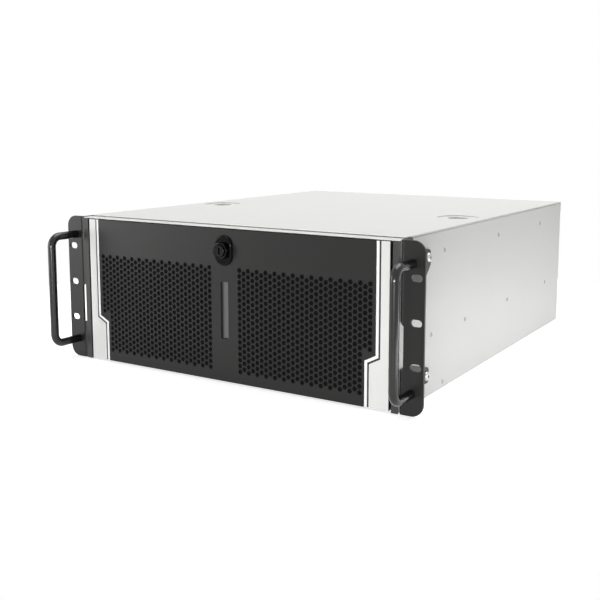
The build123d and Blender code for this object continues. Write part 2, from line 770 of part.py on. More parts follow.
def badge_plate():
    """Bare plate at the bottom of the recess between the grilles."""
    wide = BADGE_W / 2 - SNUG
    thick = (DOOR_FRONT + BADGE_DEEP, DOOR_FRONT + BADGE_DEEP + BADGE_T)
    return slab((-wide, wide), thick, (BADGE_LOW + SNUG, BADGE_LOW + BADGE_H - SNUG))


def door_post():
    """Right-hand fixed post inside the wall, with a lip over the wall's edge and a seat for the hinge pin."""
    post = slab((HALF_W - POST_W, IN_W), (-POST_PROUD, PANEL_Y), (POST_LOW, FLANGE_LOW))
    post += slab((IN_W, HALF_W - POST_SHY), (-POST_PROUD, WALL_FRONT), (POST_LOW, FLANGE_LOW))
    post = fillet(long_edges(post, Axis.Z, y=-POST_PROUD), POST_EDGE)
    seat = (HALF_W - POST_W, HALF_W - POST_W + PIN_SEAT)
    return post - rod_x(HINGE_Y, HINGE_Z, seat, PIN_R + SNUG)


def hinge_pins():
    """Pins fixed in the posts, on which the door turns."""
    reach = (DOOR_HW - PIN_REACH, HALF_W - POST_W + PIN_SEAT)
    return group(both_sides(rod_x(HINGE_Y, HINGE_Z, reach, PIN_R)))


# Key lock

def lock_barrel():
    """Lock body with an oval rim in front of the door."""
    rim = oval_plate(LOCK_OVAL_W, LOCK_OVAL_H, LOCK_Z, (DOOR_FRONT - LOCK_OVAL_T, DOOR_FRONT))
    rim = chamfer(rim.faces().sort_by(Axis.Y)[0].edges(), LOCK_OVAL_T / 2)
    barrel = rim + rod_y(0, LOCK_Z, (DOOR_FRONT - BARREL_PROUD, DOOR_BACK + NUT_T), BARREL_R)
    return barrel - rod_y(0, LOCK_Z, (DOOR_FRONT - BARREL_PROUD, DOOR_BACK + NUT_T), PLUG_R + RUN_FIT)


def lock_nut():
    """Six-sided nut that clamps the lock from behind."""
    plane = Plane((0, DOOR_BACK + NUT_T, LOCK_Z), x_dir=(1, 0, 0), z_dir=(0, -1, 0))
    nut = extrude(plane * RegularPolygon(NUT_R, 6), amount=NUT_T)
    return nut - rod_y(0, LOCK_Z, (DOOR_BACK, DOOR_BACK + NUT_T), BARREL_R + SNUG)


def lock_plug():
    """Turning plug with a keyway in front and a tail behind that carries the cam."""
    front = DOOR_FRONT - PLUG_PROUD
    plug = rod_y(0, LOCK_Z, (front, DOOR_BACK + NUT_T), PLUG_R)
    plug += rod_y(0, LOCK_Z, (DOOR_BACK + NUT_T, CAM_Y + CAM_T), TAIL_R)
    half = KEYWAY_H / 2
    keyway = slab((-KEYWAY_W / 2, KEYWAY_W / 2), (front, front + KEYWAY_DEEP), (LOCK_Z - half, LOCK_Z + half))
    return plug - keyway


def lock_cam():
    """Flat lever on the tail: turned up, it stands behind the edge of the front panel's slot."""
    plane = Plane((0, CAM_Y + CAM_T, LOCK_Z), x_dir=(1, 0, 0), z_dir=(0, -1, 0))
    outline = Pos(CAM_L / 2 - CAM_W / 4, 0) * SlotOverall(CAM_L + CAM_W / 2, CAM_W)
    cam = extrude(plane * outline, amount=CAM_T)
    return cam - rod_y(0, LOCK_Z, (CAM_Y, CAM_Y + CAM_T), TAIL_R + SNUG)


# Top cover

def top_cover():
    """Sliding lid with two drawn finger dishes, inner hems and a lip over the rear panel."""
    top, back = BODY_H - SHEET / 2, BODY_D - SHEET / 2
    line = [(0, COVER_FRONT, top), (0, back, top), (0, back, BODY_H - COVER_LIP)]
    lid = folded_sheet(line, (1, 0, 0), BODY_W, BEND)
    hem_x = HALF_W - FLANGE_W - HEM_GAP
    hem_z = (COVER_UNDER - HEM_H, COVER_UNDER)
    for hem in both_sides(slab((hem_x - SHEET, hem_x), (HEM_START, HEM_END), hem_z)):
        lid += hem
    for x in (-DISH_X, DISH_X):
        lid += rod_z(x, DISH_Y, (COVER_UNDER - DISH_DEEP, BODY_H), DISH_R + SHEET)
        lid += rod_z(x, DISH_Y, (COVER_UNDER - CORE_DEEP, BODY_H), CORE_R + SHEET)
        lid -= rod_z(x, DISH_Y, (BODY_H - DISH_DEEP, BODY_H), DISH_R)
        lid -= rod_z(x, DISH_Y, (BODY_H - CORE_DEEP, BODY_H), CORE_R)
    for x in (-THUMB_X, 0, THUMB_X):
        lid -= rod_y(x, BODY_H - THUMB_DROP, (REAR + SLIDE_GAP, BODY_D), THUMB_SHANK + SNUG)
    return lid


def cover_screws():
    """Captive thumbscrews along the lip of the cover."""
    screws = []
    for x in (-THUMB_X, 0, THUMB_X):
        z = BODY_H - THUMB_DROP
        screws.append(screw_y(x, z, BODY_D, THUMB_REACH, THUMB_SHANK, THUMB_R, THUMB_H, 1))
    return group(screws)


# Fans

def fan_hub(size):
    """Radius of a fan's hub."""
    return size * HUB_SHARE / 2


def fan_frame(size, depth, x, y, z):
    """Square fan housing with a round way through, four struts, a motor plate and its shaft."""
    half = size / 2
    frame = slab((x - half, x + half), (y, y + depth), (z - half, z + half))
    frame -= rod_y(x, z, (y, y + depth), fan_bore(size))
    plate = (y + depth - HUB_PLATE, y + depth)
    web = fan_bore(size) + FAN_RIM / 2
    for strut in (slab((x - web, x + web), plate, (z - STRUT_W / 2, z + STRUT_W / 2)),
                  slab((x - STRUT_W / 2, x + STRUT_W / 2), plate, (z - web, z + web))):
        frame += strut
    frame += rod_y(x, z, plate, fan_hub(size))
    return frame + rod_y(x, z, (y + depth / 4, y + depth), SHAFT_R)


def fan_rotor(size, depth, x, y, z):
    """Fan wheel: a hub on the shaft and a ring of cambered blades."""
    back = depth - HUB_PLATE - HUB_RUN
    front = depth * 0.08
    hub_r = fan_hub(size)
    chord = size * BLADE_CHORD
    thick = size * BLADE_T
    tip = sqrt((fan_bore(size) - FAN_TIP) ** 2 - (chord / 2) ** 2)
    half = chord / 2
    lower = ThreePointArc((-half, 0), (0, chord * BLADE_CAMBER), (half, 0))
    upper = ThreePointArc((half, thick), (0, chord * BLADE_CAMBER + thick), (-half, thick))
    ends = [Line((half, 0), (half, thick)), Line((-half, thick), (-half, 0))]
    section = Face(Wire([edge for curve in (lower, upper, *ends) for edge in curve.edges()]))
    place = Pos(0, (front + back) / 2, hub_r * 0.9) * Rot(0, 0, BLADE_PITCH)
    blade = extrude(place * section, amount=tip - hub_r * 0.9, dir=(0, 0, 1))
    wheel = rod_y(0, 0, (front, back), hub_r)
    for turn in range(FAN_BLADES):
        wheel += Rot(0, 360 * turn / FAN_BLADES, 0) * blade
    wheel -= rod_y(0, 0, (depth / 4 - HUB_RUN, back), SHAFT_R + RUN_FIT)
    return Pos(x, y, z) * wheel


def fan_wall():
    """Cross sheet that carries the three large fans."""
    thick = (WALL_Y, FAN_Y)
    wall = cross_sheet(WALL_Y, WALL_TOP)
    for x in FANS_X:
        wall -= rod_y(x, FAN_Z, thick, fan_bore(FAN))
    return wall


def fan_guards():
    """Ring guards over the two rear fans and the supply's fan."""
    places = [(x, REAR_FAN_Z, REAR, SMALL_FAN) for x in REAR_FAN_X]
    places.append((PSU_MID, PSU_FAN_Z, REAR_IN, PSU_FAN))
    half = GUARD_W / 2
    guards = []
    for x, z, y, size in places:
        radius = fan_bore(size)
        thick = (y, y + GUARD_T)
        arm = min(radius + STRUT_W, PSU_W / 2 - PSU_LIP - SNUG)
        guard = slab((x - arm, x + arm), thick, (z - half, z + half))
        guard += slab((x - half, x + half), thick, (z - arm, z + arm))
        for share in (0.45, 0.85):
            ring = rod_y(x, z, thick, radius * share)
            guard += ring - rod_y(x, z, thick, radius * share - GUARD_W)
        guards.append(guard)
    return group(guards)


# Power supply

def psu_case():
    """Steel box of the power supply, open at its fan, its inlet and a cable way in front."""
    case = slab((PSU_X0, PSU_X1), (PSU_Y0, REAR_IN), (SHEET, PSU_TOP))
    wall = PSU_WALL
    case -= slab((PSU_X0 + wall, PSU_X1 - wall), (PSU_Y0 + wall, REAR_IN - wall),
                 (SHEET + wall, PSU_TOP - wall))
    back = (REAR_IN - wall, REAR_IN)
    case -= rod_y(PSU_MID, PSU_FAN_Z, back, fan_bore(PSU_FAN))
    wide = INLET_W / 2 + SNUG
    high = INLET_H / 2 + SNUG
    case -= slab((PSU_MID - wide, PSU_MID + wide), back, (INLET_Z - high, INLET_Z + high))
    case -= rod_y(PSU_MID, INLET_Z, (PSU_Y0, PSU_Y0 + wall), LEAD_WAY_R)
    for x, z in psu_screw_places():
        case -= rod_y(x, z, back, SMALL_SCREW_R + SNUG)
    return case


def psu_inlet():
    """Mains inlet with three pins."""
    outer = (PSU_MID - INLET_W / 2, PSU_MID + INLET_W / 2)
    z = (INLET_Z - INLET_H / 2, INLET_Z + INLET_H / 2)
    inlet = slab(outer, (REAR_IN - INLET_D, REAR_IN), z)
    cave = (REAR_IN - INLET_DEEP, REAR_IN)
    wall = INLET_WALL
    inlet -= slab((outer[0] + wall, outer[1] - wall), cave, (z[0] + wall, z[1] - wall))
    for x, rise in ((-INLET_W / 4, 0), (0, INLET_H / 6), (INLET_W / 4, 0)):
        pin_x = (PSU_MID + x - wall / 2, PSU_MID + x + wall / 2)
        pin_z = (INLET_Z + rise - 2 * wall, INLET_Z + rise + wall / 2)
        inlet += slab(pin_x, (REAR_IN - INLET_DEEP, REAR_IN - INLET_DEEP / 4), pin_z)
    return inlet


def rear_screws():
    """Screws that hold the power supply and the card brackets."""
    screws = []
    for x, z in psu_screw_places():
        length = SHEET + PSU_WALL
        screws.append(screw_y(x, z, REAR, length, SMALL_SCREW_R, SMALL_HEAD_R, SMALL_HEAD_T, 1))
    seat = SLOT_SHELF + BRACKET_T
    y = SLOT_PLANE + BRACKET_TAB / 2
    for x in bracket_screw_places():
        shank = rod_z(x, y, (SLOT_SHELF - SHEET, seat), SMALL_SCREW_R)
        screws.append(shank + rod_z(x, y, (seat, seat + SMALL_HEAD_T), SMALL_HEAD_R))
    return group(screws)


# Main board and what stands on it

def board_holes():
    """Places of the board's mounting holes."""
    columns = (BOARD_X0 + BOARD_HOLE_IN, (BOARD_X0 + BOARD_X1) / 2, BOARD_X1 - BOARD_HOLE_IN)
    rows = (BOARD_Y0 + BOARD_HOLE_IN, BOARD_Y1 - BOARD_HOLE_REAR)
    return [(x, y) for x in columns for y in rows]


def motherboard():
    """Main board with its mounting holes."""
    board = slab((BOARD_X0, BOARD_X1), (BOARD_Y0, BOARD_Y1), (BOARD_Z, BOARD_TOP))
    for x, y in board_holes():
        board -= rod_z(x, y, (BOARD_Z, BOARD_TOP), SMALL_SCREW_R + SNUG)
    return board


def board_standoffs():
    """Six-sided posts between the floor and the board, and the screws on top of them."""
    pieces = []
    for x, y in board_holes():
        post = Pos(x, y, SHEET) * extrude(RegularPolygon(STANDOFF_R, 6), amount=BOARD_Z - SHEET)
        screw = rod_z(x, y, (BOARD_Z, BOARD_TOP), SMALL_SCREW_R)
        screw += rod_z(x, y, (BOARD_TOP, BOARD_TOP + SMALL_HEAD_T), SMALL_HEAD_R)
        pieces += [post, screw]
    return group(pieces)


def dimm_places():
    """X of each memory module."""
    return [CPU_X + offset for offset in DIMM_OFFSETS]


def board_sockets():
    """Processor, memory and card sockets on the board."""
    sockets = [slab((CPU_X - CPU_W / 2, CPU_X + CPU_W / 2), (CPU_Y - CPU_D / 2, CPU_Y + CPU_D / 2),
                    (BOARD_TOP, BOARD_TOP + CPU_T))]
    half = DIMM_SOCKET_W / 2
    length = (CPU_Y - DIMM_L / 2 - DIMM_T, CPU_Y + DIMM_L / 2 + DIMM_T)
    for x in dimm_places():
        socket = slab((x - half, x + half), length, (BOARD_TOP, BOARD_TOP + DIMM_SOCKET_H))
        groove = (x - DIMM_T / 2, x + DIMM_T / 2)
        socket -= slab(groove, (length[0] + DIMM_T - SNUG, length[1] - DIMM_T + SNUG),
                       (BOARD_TOP + DIMM_SOCKET_H / 2, BOARD_TOP + DIMM_SOCKET_H))
        sockets.append(socket)
    for slot in CARD_SLOTS:
        x = SLOTS_X[slot]
        span = (BOARD_Y1 - CARD_SOCKET_Y - CARD_SOCKET_L, BOARD_Y1 - CARD_SOCKET_Y)
        socket = slab((x - CARD_SOCKET_W / 2, x + CARD_SOCKET_W / 2), span,
                      (BOARD_TOP, BOARD_TOP + CARD_SOCKET_H))
        groove = (x - CARD_T / 2 - SNUG, x + CARD_T / 2 + SNUG)
        socket -= slab(groove, span, (CARD_LOW, BOARD_TOP + CARD_SOCKET_H))
        sockets.append(socket)
    return group(sockets)


def memory_modules():
    """Memory modules, each standing in its socket."""
    low = BOARD_TOP + DIMM_SOCKET_H / 2
    modules = []
    for x in dimm_places():
        thick = (x - DIMM_T / 2 + SNUG, x + DIMM_T / 2 - SNUG)
        modules.append(slab(thick, (CPU_Y - DIMM_L / 2, CPU_Y + DIMM_L / 2), (low, low + DIMM_H)))
    return group(modules)


def cpu_heatsink():
    """Finned cooler on the processor, with its fins along the stream of air."""
    low = BOARD_TOP + CPU_T
    span = (CPU_Y - SINK_D / 2, CPU_Y + SINK_D / 2)
    sink = slab((CPU_X - SINK_W / 2, CPU_X + SINK_W / 2), span, (low, low + SINK_H))
    pitch = (SINK_W - FIN_T) / (SINK_FINS - 1)
    for fin in range(SINK_FINS - 1):
        left = CPU_X - SINK_W / 2 + FIN_T + fin * pitch
        sink -= slab((left, left + pitch - FIN_T), span, (low + SINK_BASE, low + SINK_H))
    return sink


def io_ports():
    """Port blocks at the back edge of the board: a width and a row of stacked sockets for each."""
    ports = []
    count = len(PORTS)
    gap = (IO_W - sum(width for width, height in PORTS)) / (count + 1)
    x = IO_X0 + gap
    for width, height in PORTS:
        stack = int(height / PORT_ROW)
        port = slab((x, x + width), (BOARD_Y1 - PORT_D, REAR), (BOARD_TOP, BOARD_TOP + height))
        rise = (height - PORT_WALL) / stack
        for level in range(stack):
            low = BOARD_TOP + PORT_WALL + level * rise
            port -= slab((x + PORT_WALL, x + width - PORT_WALL), (REAR - PORT_DEEP, REAR),
                         (low, low + rise - PORT_WALL))
        ports.append(port)
        x += width + gap
    return group(ports)


def io_shield():
    """Thin plate round the ports, clipped into its opening."""
    plate = slab((IO_X0 + SNUG, IO_X1 - SNUG), (REAR_IN, REAR_IN + IO_T),
                 (IO_LOW + SNUG, IO_LOW + IO_H - SNUG))
    for port in io_ports().solids():
        box = port.bounding_box()
        plate -= slab((box.min.X - PORT_FIT, box.max.X + PORT_FIT), (REAR_IN, REAR_IN + IO_T),
                      (box.min.Z - PORT_FIT, box.max.Z + PORT_FIT))
    return plate


# Expansion cards

def bracket(x0, x1, screw_x):
    """Card bracket that closes its slots from inside, with a tab bent out over the shelf."""
    flat = (SLOT_PLANE - SHEET - BRACKET_T, SLOT_PLANE - SHEET)
    plate = slab((x0, x1), flat, (SLOT_OPEN_LOW - 2 * SHEET, SLOT_SHELF + BRACKET_T))
    tab = (SLOT_PLANE - SHEET - BRACKET_T, SLOT_PLANE + BRACKET_TAB)
    top = (SLOT_SHELF, SLOT_SHELF + BRACKET_T)
    plate += slab((x0, x1), tab, top)
    return plate - rod_z(screw_x, SLOT_PLANE + BRACKET_TAB / 2, top, SMALL_SCREW_R + SNUG)


def gpu_boards():
    """Graphics card boards, each with a bracket two slots wide."""
    cards = []
    for slot in CARD_SLOTS:
        x = SLOTS_X[slot]
        board = slab((x - CARD_T / 2, x + CARD_T / 2), (CARD_END - CARD_L, CARD_END),
                     (CARD_LOW + CARD_SOCKET_H, CARD_LOW + CARD_H))
        edge = (BOARD_Y1 - CARD_SOCKET_Y - CARD_SOCKET_L + CARD_T, BOARD_Y1 - CARD_SOCKET_Y - CARD_T)
        board += slab((x - CARD_T / 2, x + CARD_T / 2), edge, (CARD_LOW, CARD_LOW + CARD_SOCKET_H))
        cards.append(board + bracket(x - SLOT_PITCH - BRACKET_W / 2, x + BRACKET_W / 2, x))
    return group(cards)


def gpu_shrouds():
    """Open-ended cooling shrouds with a row of fins, one on the face of each card."""
    shrouds = []
    span = (CARD_END - CARD_L, CARD_END)
    z = (CARD_LOW + CARD_SOCKET_H + SHROUD_WALL, CARD_LOW + CARD_H)
    wall = SHROUD_WALL
    for slot in CARD_SLOTS:
        x1 = SLOTS_X[slot] - CARD_T / 2
        x0 = x1 - SHROUD_W
        shroud = slab((x0, x1), span, z)
        inner_z = (z[0] + wall, z[1] - wall)
        fins = 6
        pitch = (SHROUD_W - wall) / fins
        for fin in range(fins):
            left = x0 + wall + fin * pitch
            shroud -= slab((left, left + pitch - wall), span, inner_z)
        shrouds.append(shroud)
    return group(shrouds)


def slot_cover():
    """Blank brackets over the slots that hold no card."""
    places = [SLOTS_X[slot] for slot in blank_slots()]
    return group([bracket(x - BRACKET_W / 2, x + BRACKET_W / 2, x) for x in places])


# Drives

def drive_low(number):
    """Height of the underside of a drive in its cage."""
    return SHEET + CAGE_T + DRIVE_PITCH - DRIVE_H + number * DRIVE_PITCH


def drive_cage():
    """Right-hand cage: a folded tube, open to the front and the back, with ledges for the drives."""
    inner = DRIVE_W / 2 + DRIVE_FIT
    outer = inner + CAGE_T
    top = drive_low(DRIVES)
    span = (CAGE_Y0, CAGE_Y0 + DRIVE_L)
    cage = slab((CAGE_X - outer, CAGE_X + outer), span, (SHEET, top + CAGE_T))
    cage -= slab((CAGE_X - inner, CAGE_X + inner), span, (SHEET + CAGE_T, top))
    for number in range(DRIVES):
        low = drive_low(number) - DRIVE_FIT
        for side in (-1, 1):
            ledge = sorted((CAGE_X + side * inner, CAGE_X + side * (inner - (DRIVE_PITCH - DRIVE_H))))
            cage += slab(ledge, span, (low - CAGE_T, low))
    return cage


def hard_drives():
    """Drives in both cages, with a stepped lid on each."""
    drives = []
    for number in range(DRIVES):
        low = drive_low(number)
        wide = DRIVE_W / 2
        span = (CAGE_Y0, CAGE_Y0 + DRIVE_L)
        body = slab((CAGE_X - wide, CAGE_X + wide), span, (low, low + DRIVE_H - CAGE_T))
        rim = DRIVE_PITCH - DRIVE_H
        body += slab((CAGE_X - wide + rim, CAGE_X + wide - rim), (span[0] + rim, span[1] - rim),
                     (low + DRIVE_H - CAGE_T, low + DRIVE_H))
        drives += both_sides(body)
    return group(drives)


# Front switches, lamps and ports

def button(x, radius):
    """Sprung push button: a cap in front, a flange behind the panel and a stem to its switch."""
    cap = rod_y(x, FRONT_Z, (PANEL_Y - BUTTON_PROUD, PANEL_BACK + SIDE_GAP), radius)
    land = (PANEL_BACK + SIDE_GAP, PANEL_BACK + SIDE_GAP + BUTTON_FLANGE)
    cap += rod_y(x, FRONT_Z, land, radius + BUTTON_LAND)
    stem_end = FRONT_BOARD_Y - SWITCH_T - BUTTON_TRAVEL - SIDE_GAP
    return cap + rod_y(x, FRONT_Z, (land[0], stem_end), radius / 2)


def front_io_board():
    """Small board behind the panel, with a switch under each button."""
    board = slab(FRONT_BOARD_X, (FRONT_BOARD_Y, FRONT_BOARD_Y + BOARD_T), FRONT_BOARD_Z)
    half = SWITCH_SIZE / 2
    for x in (BUTTON_X, RESET_X):
        board += slab((x - half, x + half), (FRONT_BOARD_Y - SWITCH_T, FRONT_BOARD_Y),
                      (FRONT_Z - half, FRONT_Z + half))
    return board


def status_lights():
    """Light pipes between the small board and the front panel."""
    reach = (PANEL_Y - PORT_PROUD, FRONT_BOARD_Y)
    return group([rod_y(x, FRONT_Z, reach, LIGHT_R) for x in LIGHTS_X])


def usb_ports():
    """Ports on the small board: a steel shell with a tongue inside."""
    ports = []
    span = (PANEL_Y - PORT_PROUD, FRONT_BOARD_Y)
    for x in USB_X:
        shell = slab((x - USB_W / 2, x + USB_W / 2), span, (FRONT_Z - USB_H / 2, FRONT_Z + USB_H / 2))
        wide = USB_W / 2 - USB_WALL
        high = USB_H / 2 - USB_WALL
        shell -= slab((x - wide, x + wide), (span[0], span[1] - USB_WALL), (FRONT_Z - high, FRONT_Z + high))
        tongue = (FRONT_Z + high - USB_TONGUE - USB_WALL, FRONT_Z + high - USB_WALL)
        shell += slab((x - wide + USB_WALL, x + wide - USB_WALL), (span[0] + USB_WALL, span[1]), tongue)
        ports.append(shell)
    return group(ports)


# All nodes by name

def nodes():
    """Every piece of the server, drawn in place."""
    pieces = {
        "base_tray": base_tray(),
        "side_rivets": side_rivets(),
        "front_panel": front_panel(),
        "top_rail": top_rail(),
        "rear_panel": rear_panel(),
        "slot_frame": slot_frame(),
        "chassis_screws": group([ear_screws(), rear_screws()]),
        "hinge_pins": hinge_pins(),
        "door_skin": door_skin(),
        "door_frame": door_frame(),
        "accent_stripes": group(both_sides(accent_stripe())),
        "dust_filters": group(both_sides(dust_filter())),
        "badge_plate": badge_plate(),
        "lock_barrel": group([lock_barrel(), lock_nut()]),
        "lock_plug": lock_plug(),
        "lock_cam": lock_cam(),
        "top_cover": top_cover(),
        "cover_screws": cover_screws(),
        "fan_wall": fan_wall(),
        "fan_guards": fan_guards(),
        "psu_case": psu_case(),
        "psu_inlet": psu_inlet(),
        "motherboard": motherboard(),
        "board_standoffs": board_standoffs(),
        "board_sockets": board_sockets(),
        "memory_modules": memory_modules(),
        "cpu_heatsink": cpu_heatsink(),
        "io_ports": io_ports(),
        "io_shield": io_shield(),
        "gpu_boards": gpu_boards(),
        "gpu_shrouds": gpu_shrouds(),
        "slot_cover": slot_cover(),
        "drive_cages": group(both_sides(drive_cage())),
        "hard_drives": hard_drives(),
        "front_io_board": front_io_board(),
        "status_lights": status_lights(),
        "usb_ports": usb_ports(),
        "power_button": button(BUTTON_X, BUTTON_R),
        "reset_button": button(RESET_X, RESET_R),
    }
    pairs = {
        "ear": ear(),
        "handle": handle(),
        "door_post": door_post(),
        "side_trim": side_trim(),
    }
    for name, piece in pairs.items():
        pieces[name + "_left"], pieces[name + "_right"] = both_sides(piece)
    for side, x in zip(("left", "middle", "right"), FANS_X):
        pieces["fan_frame_" + side] = fan_frame(FAN, FAN_T, x, FAN_Y, FAN_Z)
        pieces["fan_rotor_" + side] = fan_rotor(FAN, FAN_T, x, FAN_Y, FAN_Z)
    small_y = REAR_IN - SMALL_FAN_T
    small = {"rear_fan_left": (SMALL_FAN, REAR_FAN_X[0], small_y, REAR_FAN_Z),
             "rear_fan_right": (SMALL_FAN, REAR_FAN_X[1], small_y, REAR_FAN_Z),
             "psu_fan": (PSU_FAN, PSU_MID, small_y - PSU_WALL, PSU_FAN_Z)}
    for name, (size, *place) in small.items():
        pieces[name + "_frame"] = fan_frame(size, SMALL_FAN_T, *place)
        pieces[name + "_rotor"] = fan_rotor(size, SMALL_FAN_T, *place)
    return pieces


os.makedirs("parts", exist_ok=True)
for node, shape in nodes().items():
    export_step(Pos(0, SHIFT_Y, 0) * shape, "parts/" + node + ".step")
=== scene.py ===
import json
import math

import bmesh
import bpy
from bpy.props import FloatProperty, FloatVectorProperty, IntProperty, PointerProperty
from mathutils import Matrix, Vector, noise

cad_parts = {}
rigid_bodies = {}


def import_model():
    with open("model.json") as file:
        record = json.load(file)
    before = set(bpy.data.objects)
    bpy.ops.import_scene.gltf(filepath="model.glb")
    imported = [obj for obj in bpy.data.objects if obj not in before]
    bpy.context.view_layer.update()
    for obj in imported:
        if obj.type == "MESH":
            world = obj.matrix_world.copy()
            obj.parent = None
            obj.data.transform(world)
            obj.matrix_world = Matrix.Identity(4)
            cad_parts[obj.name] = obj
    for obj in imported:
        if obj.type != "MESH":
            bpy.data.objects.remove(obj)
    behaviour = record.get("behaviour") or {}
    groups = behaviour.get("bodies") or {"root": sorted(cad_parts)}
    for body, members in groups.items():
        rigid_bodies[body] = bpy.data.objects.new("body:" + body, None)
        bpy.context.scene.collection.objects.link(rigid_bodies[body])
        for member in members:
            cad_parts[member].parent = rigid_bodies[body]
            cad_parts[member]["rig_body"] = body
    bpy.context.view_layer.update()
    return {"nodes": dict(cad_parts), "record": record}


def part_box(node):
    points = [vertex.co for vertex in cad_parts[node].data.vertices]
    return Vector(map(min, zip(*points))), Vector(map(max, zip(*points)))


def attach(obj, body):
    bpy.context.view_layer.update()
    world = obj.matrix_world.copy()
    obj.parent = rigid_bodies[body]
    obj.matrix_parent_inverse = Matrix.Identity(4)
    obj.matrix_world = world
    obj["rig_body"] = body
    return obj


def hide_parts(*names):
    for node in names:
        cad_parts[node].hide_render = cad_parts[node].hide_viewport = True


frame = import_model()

bl_info = {
    "name": "Rack Server Dressing",
    "version": (1, 0, 0),
    "blender": (4, 5, 0),
    "location": "3D View > Sidebar > Server",
    "description": "Dresses the packed rack server: perforated door, handles, sheet metal and inner parts",
    "category": "Object",
}

MM = 0.001
# Places closer than TOUCH count as the same, and vertices closer than WELD are merged
TOUCH = 0.01 * MM
WELD = 0.002 * MM
# Faces that meet at less than FLAT are one flat face, and edges that turn by more than SHARP are rounded
FLAT = math.radians(0.5)
SHARP = math.radians(35)
# Share of a round part's radius that still counts as its edge
NEARLY = 0.98
# Colour sockets of the Mix node
MIX_A, MIX_B, MIX_OUT = 6, 7, 2


# Small helpers

def linear(code):
    """A hex sRGB colour as linear RGBA."""
    parts = [int(code[i:i + 2], 16) / 255 for i in (1, 3, 5)]
    return tuple(p / 12.92 if p <= 0.04045 else ((p + 0.055) / 1.055) ** 2.4 for p in parts) + (1.0,)


def put(tree, kind, sockets=None, **settings):
    """Adds a node, sets its settings, and sets or links its inputs."""
    made = tree.nodes.new(kind)
    for name, value in settings.items():
        setattr(made, name, value)
    for name, value in (sockets or {}).items():
        if isinstance(value, bpy.types.NodeSocket):
            tree.links.new(value, made.inputs[name])
        else:
            made.inputs[name].default_value = value
    return made


def keep(name, bm, body, slot, stands_for, smooth=35):
    """Turns a bmesh into a finished piece on its body, in place of the CAD nodes that it stands for."""
    mesh = bpy.data.meshes.new(name)
    bm.to_mesh(mesh)
    bm.free()
    mesh.materials.append(FINISHES[slot])
    mesh.shade_smooth()
    mesh.set_sharp_from_angle(angle=math.radians(smooth))
    piece = bpy.data.objects.new(name, mesh)
    bpy.context.scene.collection.objects.link(piece)
    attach(piece, body)
    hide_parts(*stands_for)
    flat = piece.modifiers.new("flat_faces", "WEIGHTED_NORMAL")
    flat.keep_sharp = True
    return piece


def merged_copy(node):
    """A welded copy of a CAD node's mesh with its flat faces whole again."""
    bm = bmesh.new()
    bm.from_mesh(frame["nodes"][node].data)
    bmesh.ops.remove_doubles(bm, verts=bm.verts, dist=WELD)
    bmesh.ops.dissolve_limit(bm, angle_limit=FLAT, verts=bm.verts, edges=bm.edges)
    return bm


def ease_edges(bm, width):
    """Rounds the sharp edges of a bmesh as a deburred or moulded edge is."""
    sharp = [e for e in bm.edges if e.is_manifold and e.calc_face_angle(0) > SHARP]
    bmesh.ops.bevel(bm, geom=sharp, offset=width, offset_type="OFFSET", affect="EDGES", segments=2,
                    profile=0.5, material=-1, clamp_overlap=True)


def owner(node):
    """Body that a CAD node rides on."""
    return frame["nodes"][node]["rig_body"]


def cad_slot(node):
    """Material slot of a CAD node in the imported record."""
    return next(s["material_slot"] for s in frame["record"]["subparts"] if s["node"] == node)


def eased_piece(node, width, smooth=35):
    """A piece with rounded edges that stands for one CAD node."""
    bm = merged_copy(node)
    ease_edges(bm, width)
    return keep(node + "_eased", bm, owner(node), cad_slot(node), [node], smooth)


def solids(node):
    """Points of each separate solid of a CAD node."""
    bm = merged_copy(node)
    todo = set(bm.verts)
    found = []
    while todo:
        front = [todo.pop()]
        island = []
        while front:
            vert = front.pop()
            island.append(vert.co.copy())
            near = {e.other_vert(vert) for e in vert.link_edges} & todo
            todo -= near
            front.extend(near)
        found.append(island)
    bm.free()
    return found


def span(points, axis):
    """Lowest and highest of some points along an axis."""
    values = [p[axis] for p in points]
    return min(values), max(values)


def middle(points):
    """Centre of the box round some points."""
    return Vector([sum(span(points, axis)) / 2 for axis in range(3)])


def facing(direction, place=(0, 0, 0)):
    """Places a shape drawn on the XY plane so that its Z axis looks along a direction."""
    turn = Vector(direction).to_track_quat("Z", "Y").to_matrix().to_4x4()
    return Matrix.Translation(place) @ turn


def edges_of(verts):
    """Edges that join some vertices."""
    return list({e for v in verts for e in v.link_edges})


def only(kind, geom):
    """The elements of one kind in an operator's result."""
    return [g for g in geom if isinstance(g, kind)]


def turned(bm, place, profile, steps):
    """Turned shape: a line of radius and height pairs, spun round its own Z axis."""
    line = [bm.verts.new(place @ Vector((radius, 0, height))) for radius, height in profile]
    edges = [bm.edges.new(pair) for pair in zip(line, line[1:])]
    axis = (place.to_3x3() @ Vector((0, 0, 1))).normalized()
    bmesh.ops.spin(bm, geom=line + edges, cent=place.translation, axis=axis, angle=math.tau, steps=steps,
                   use_merge=True)


def pull(bm, faces, vec, leave=False):
    """Extrudes faces along a vector and returns the new end faces."""
    out = bmesh.ops.extrude_face_region(bm, geom=faces)["geom"]
    if not leave:
        bmesh.ops.delete(bm, geom=faces, context="FACES_ONLY")
    bmesh.ops.translate(bm, verts=only(bmesh.types.BMVert, out), vec=vec)
    return only(bmesh.types.BMFace, out)


def close_up(bm):
    """Merges doubled vertices and turns every face outwards."""
    bmesh.ops.remove_doubles(bm, verts=bm.verts, dist=WELD)
    bmesh.ops.recalc_face_normals(bm, faces=bm.faces)


# Materials

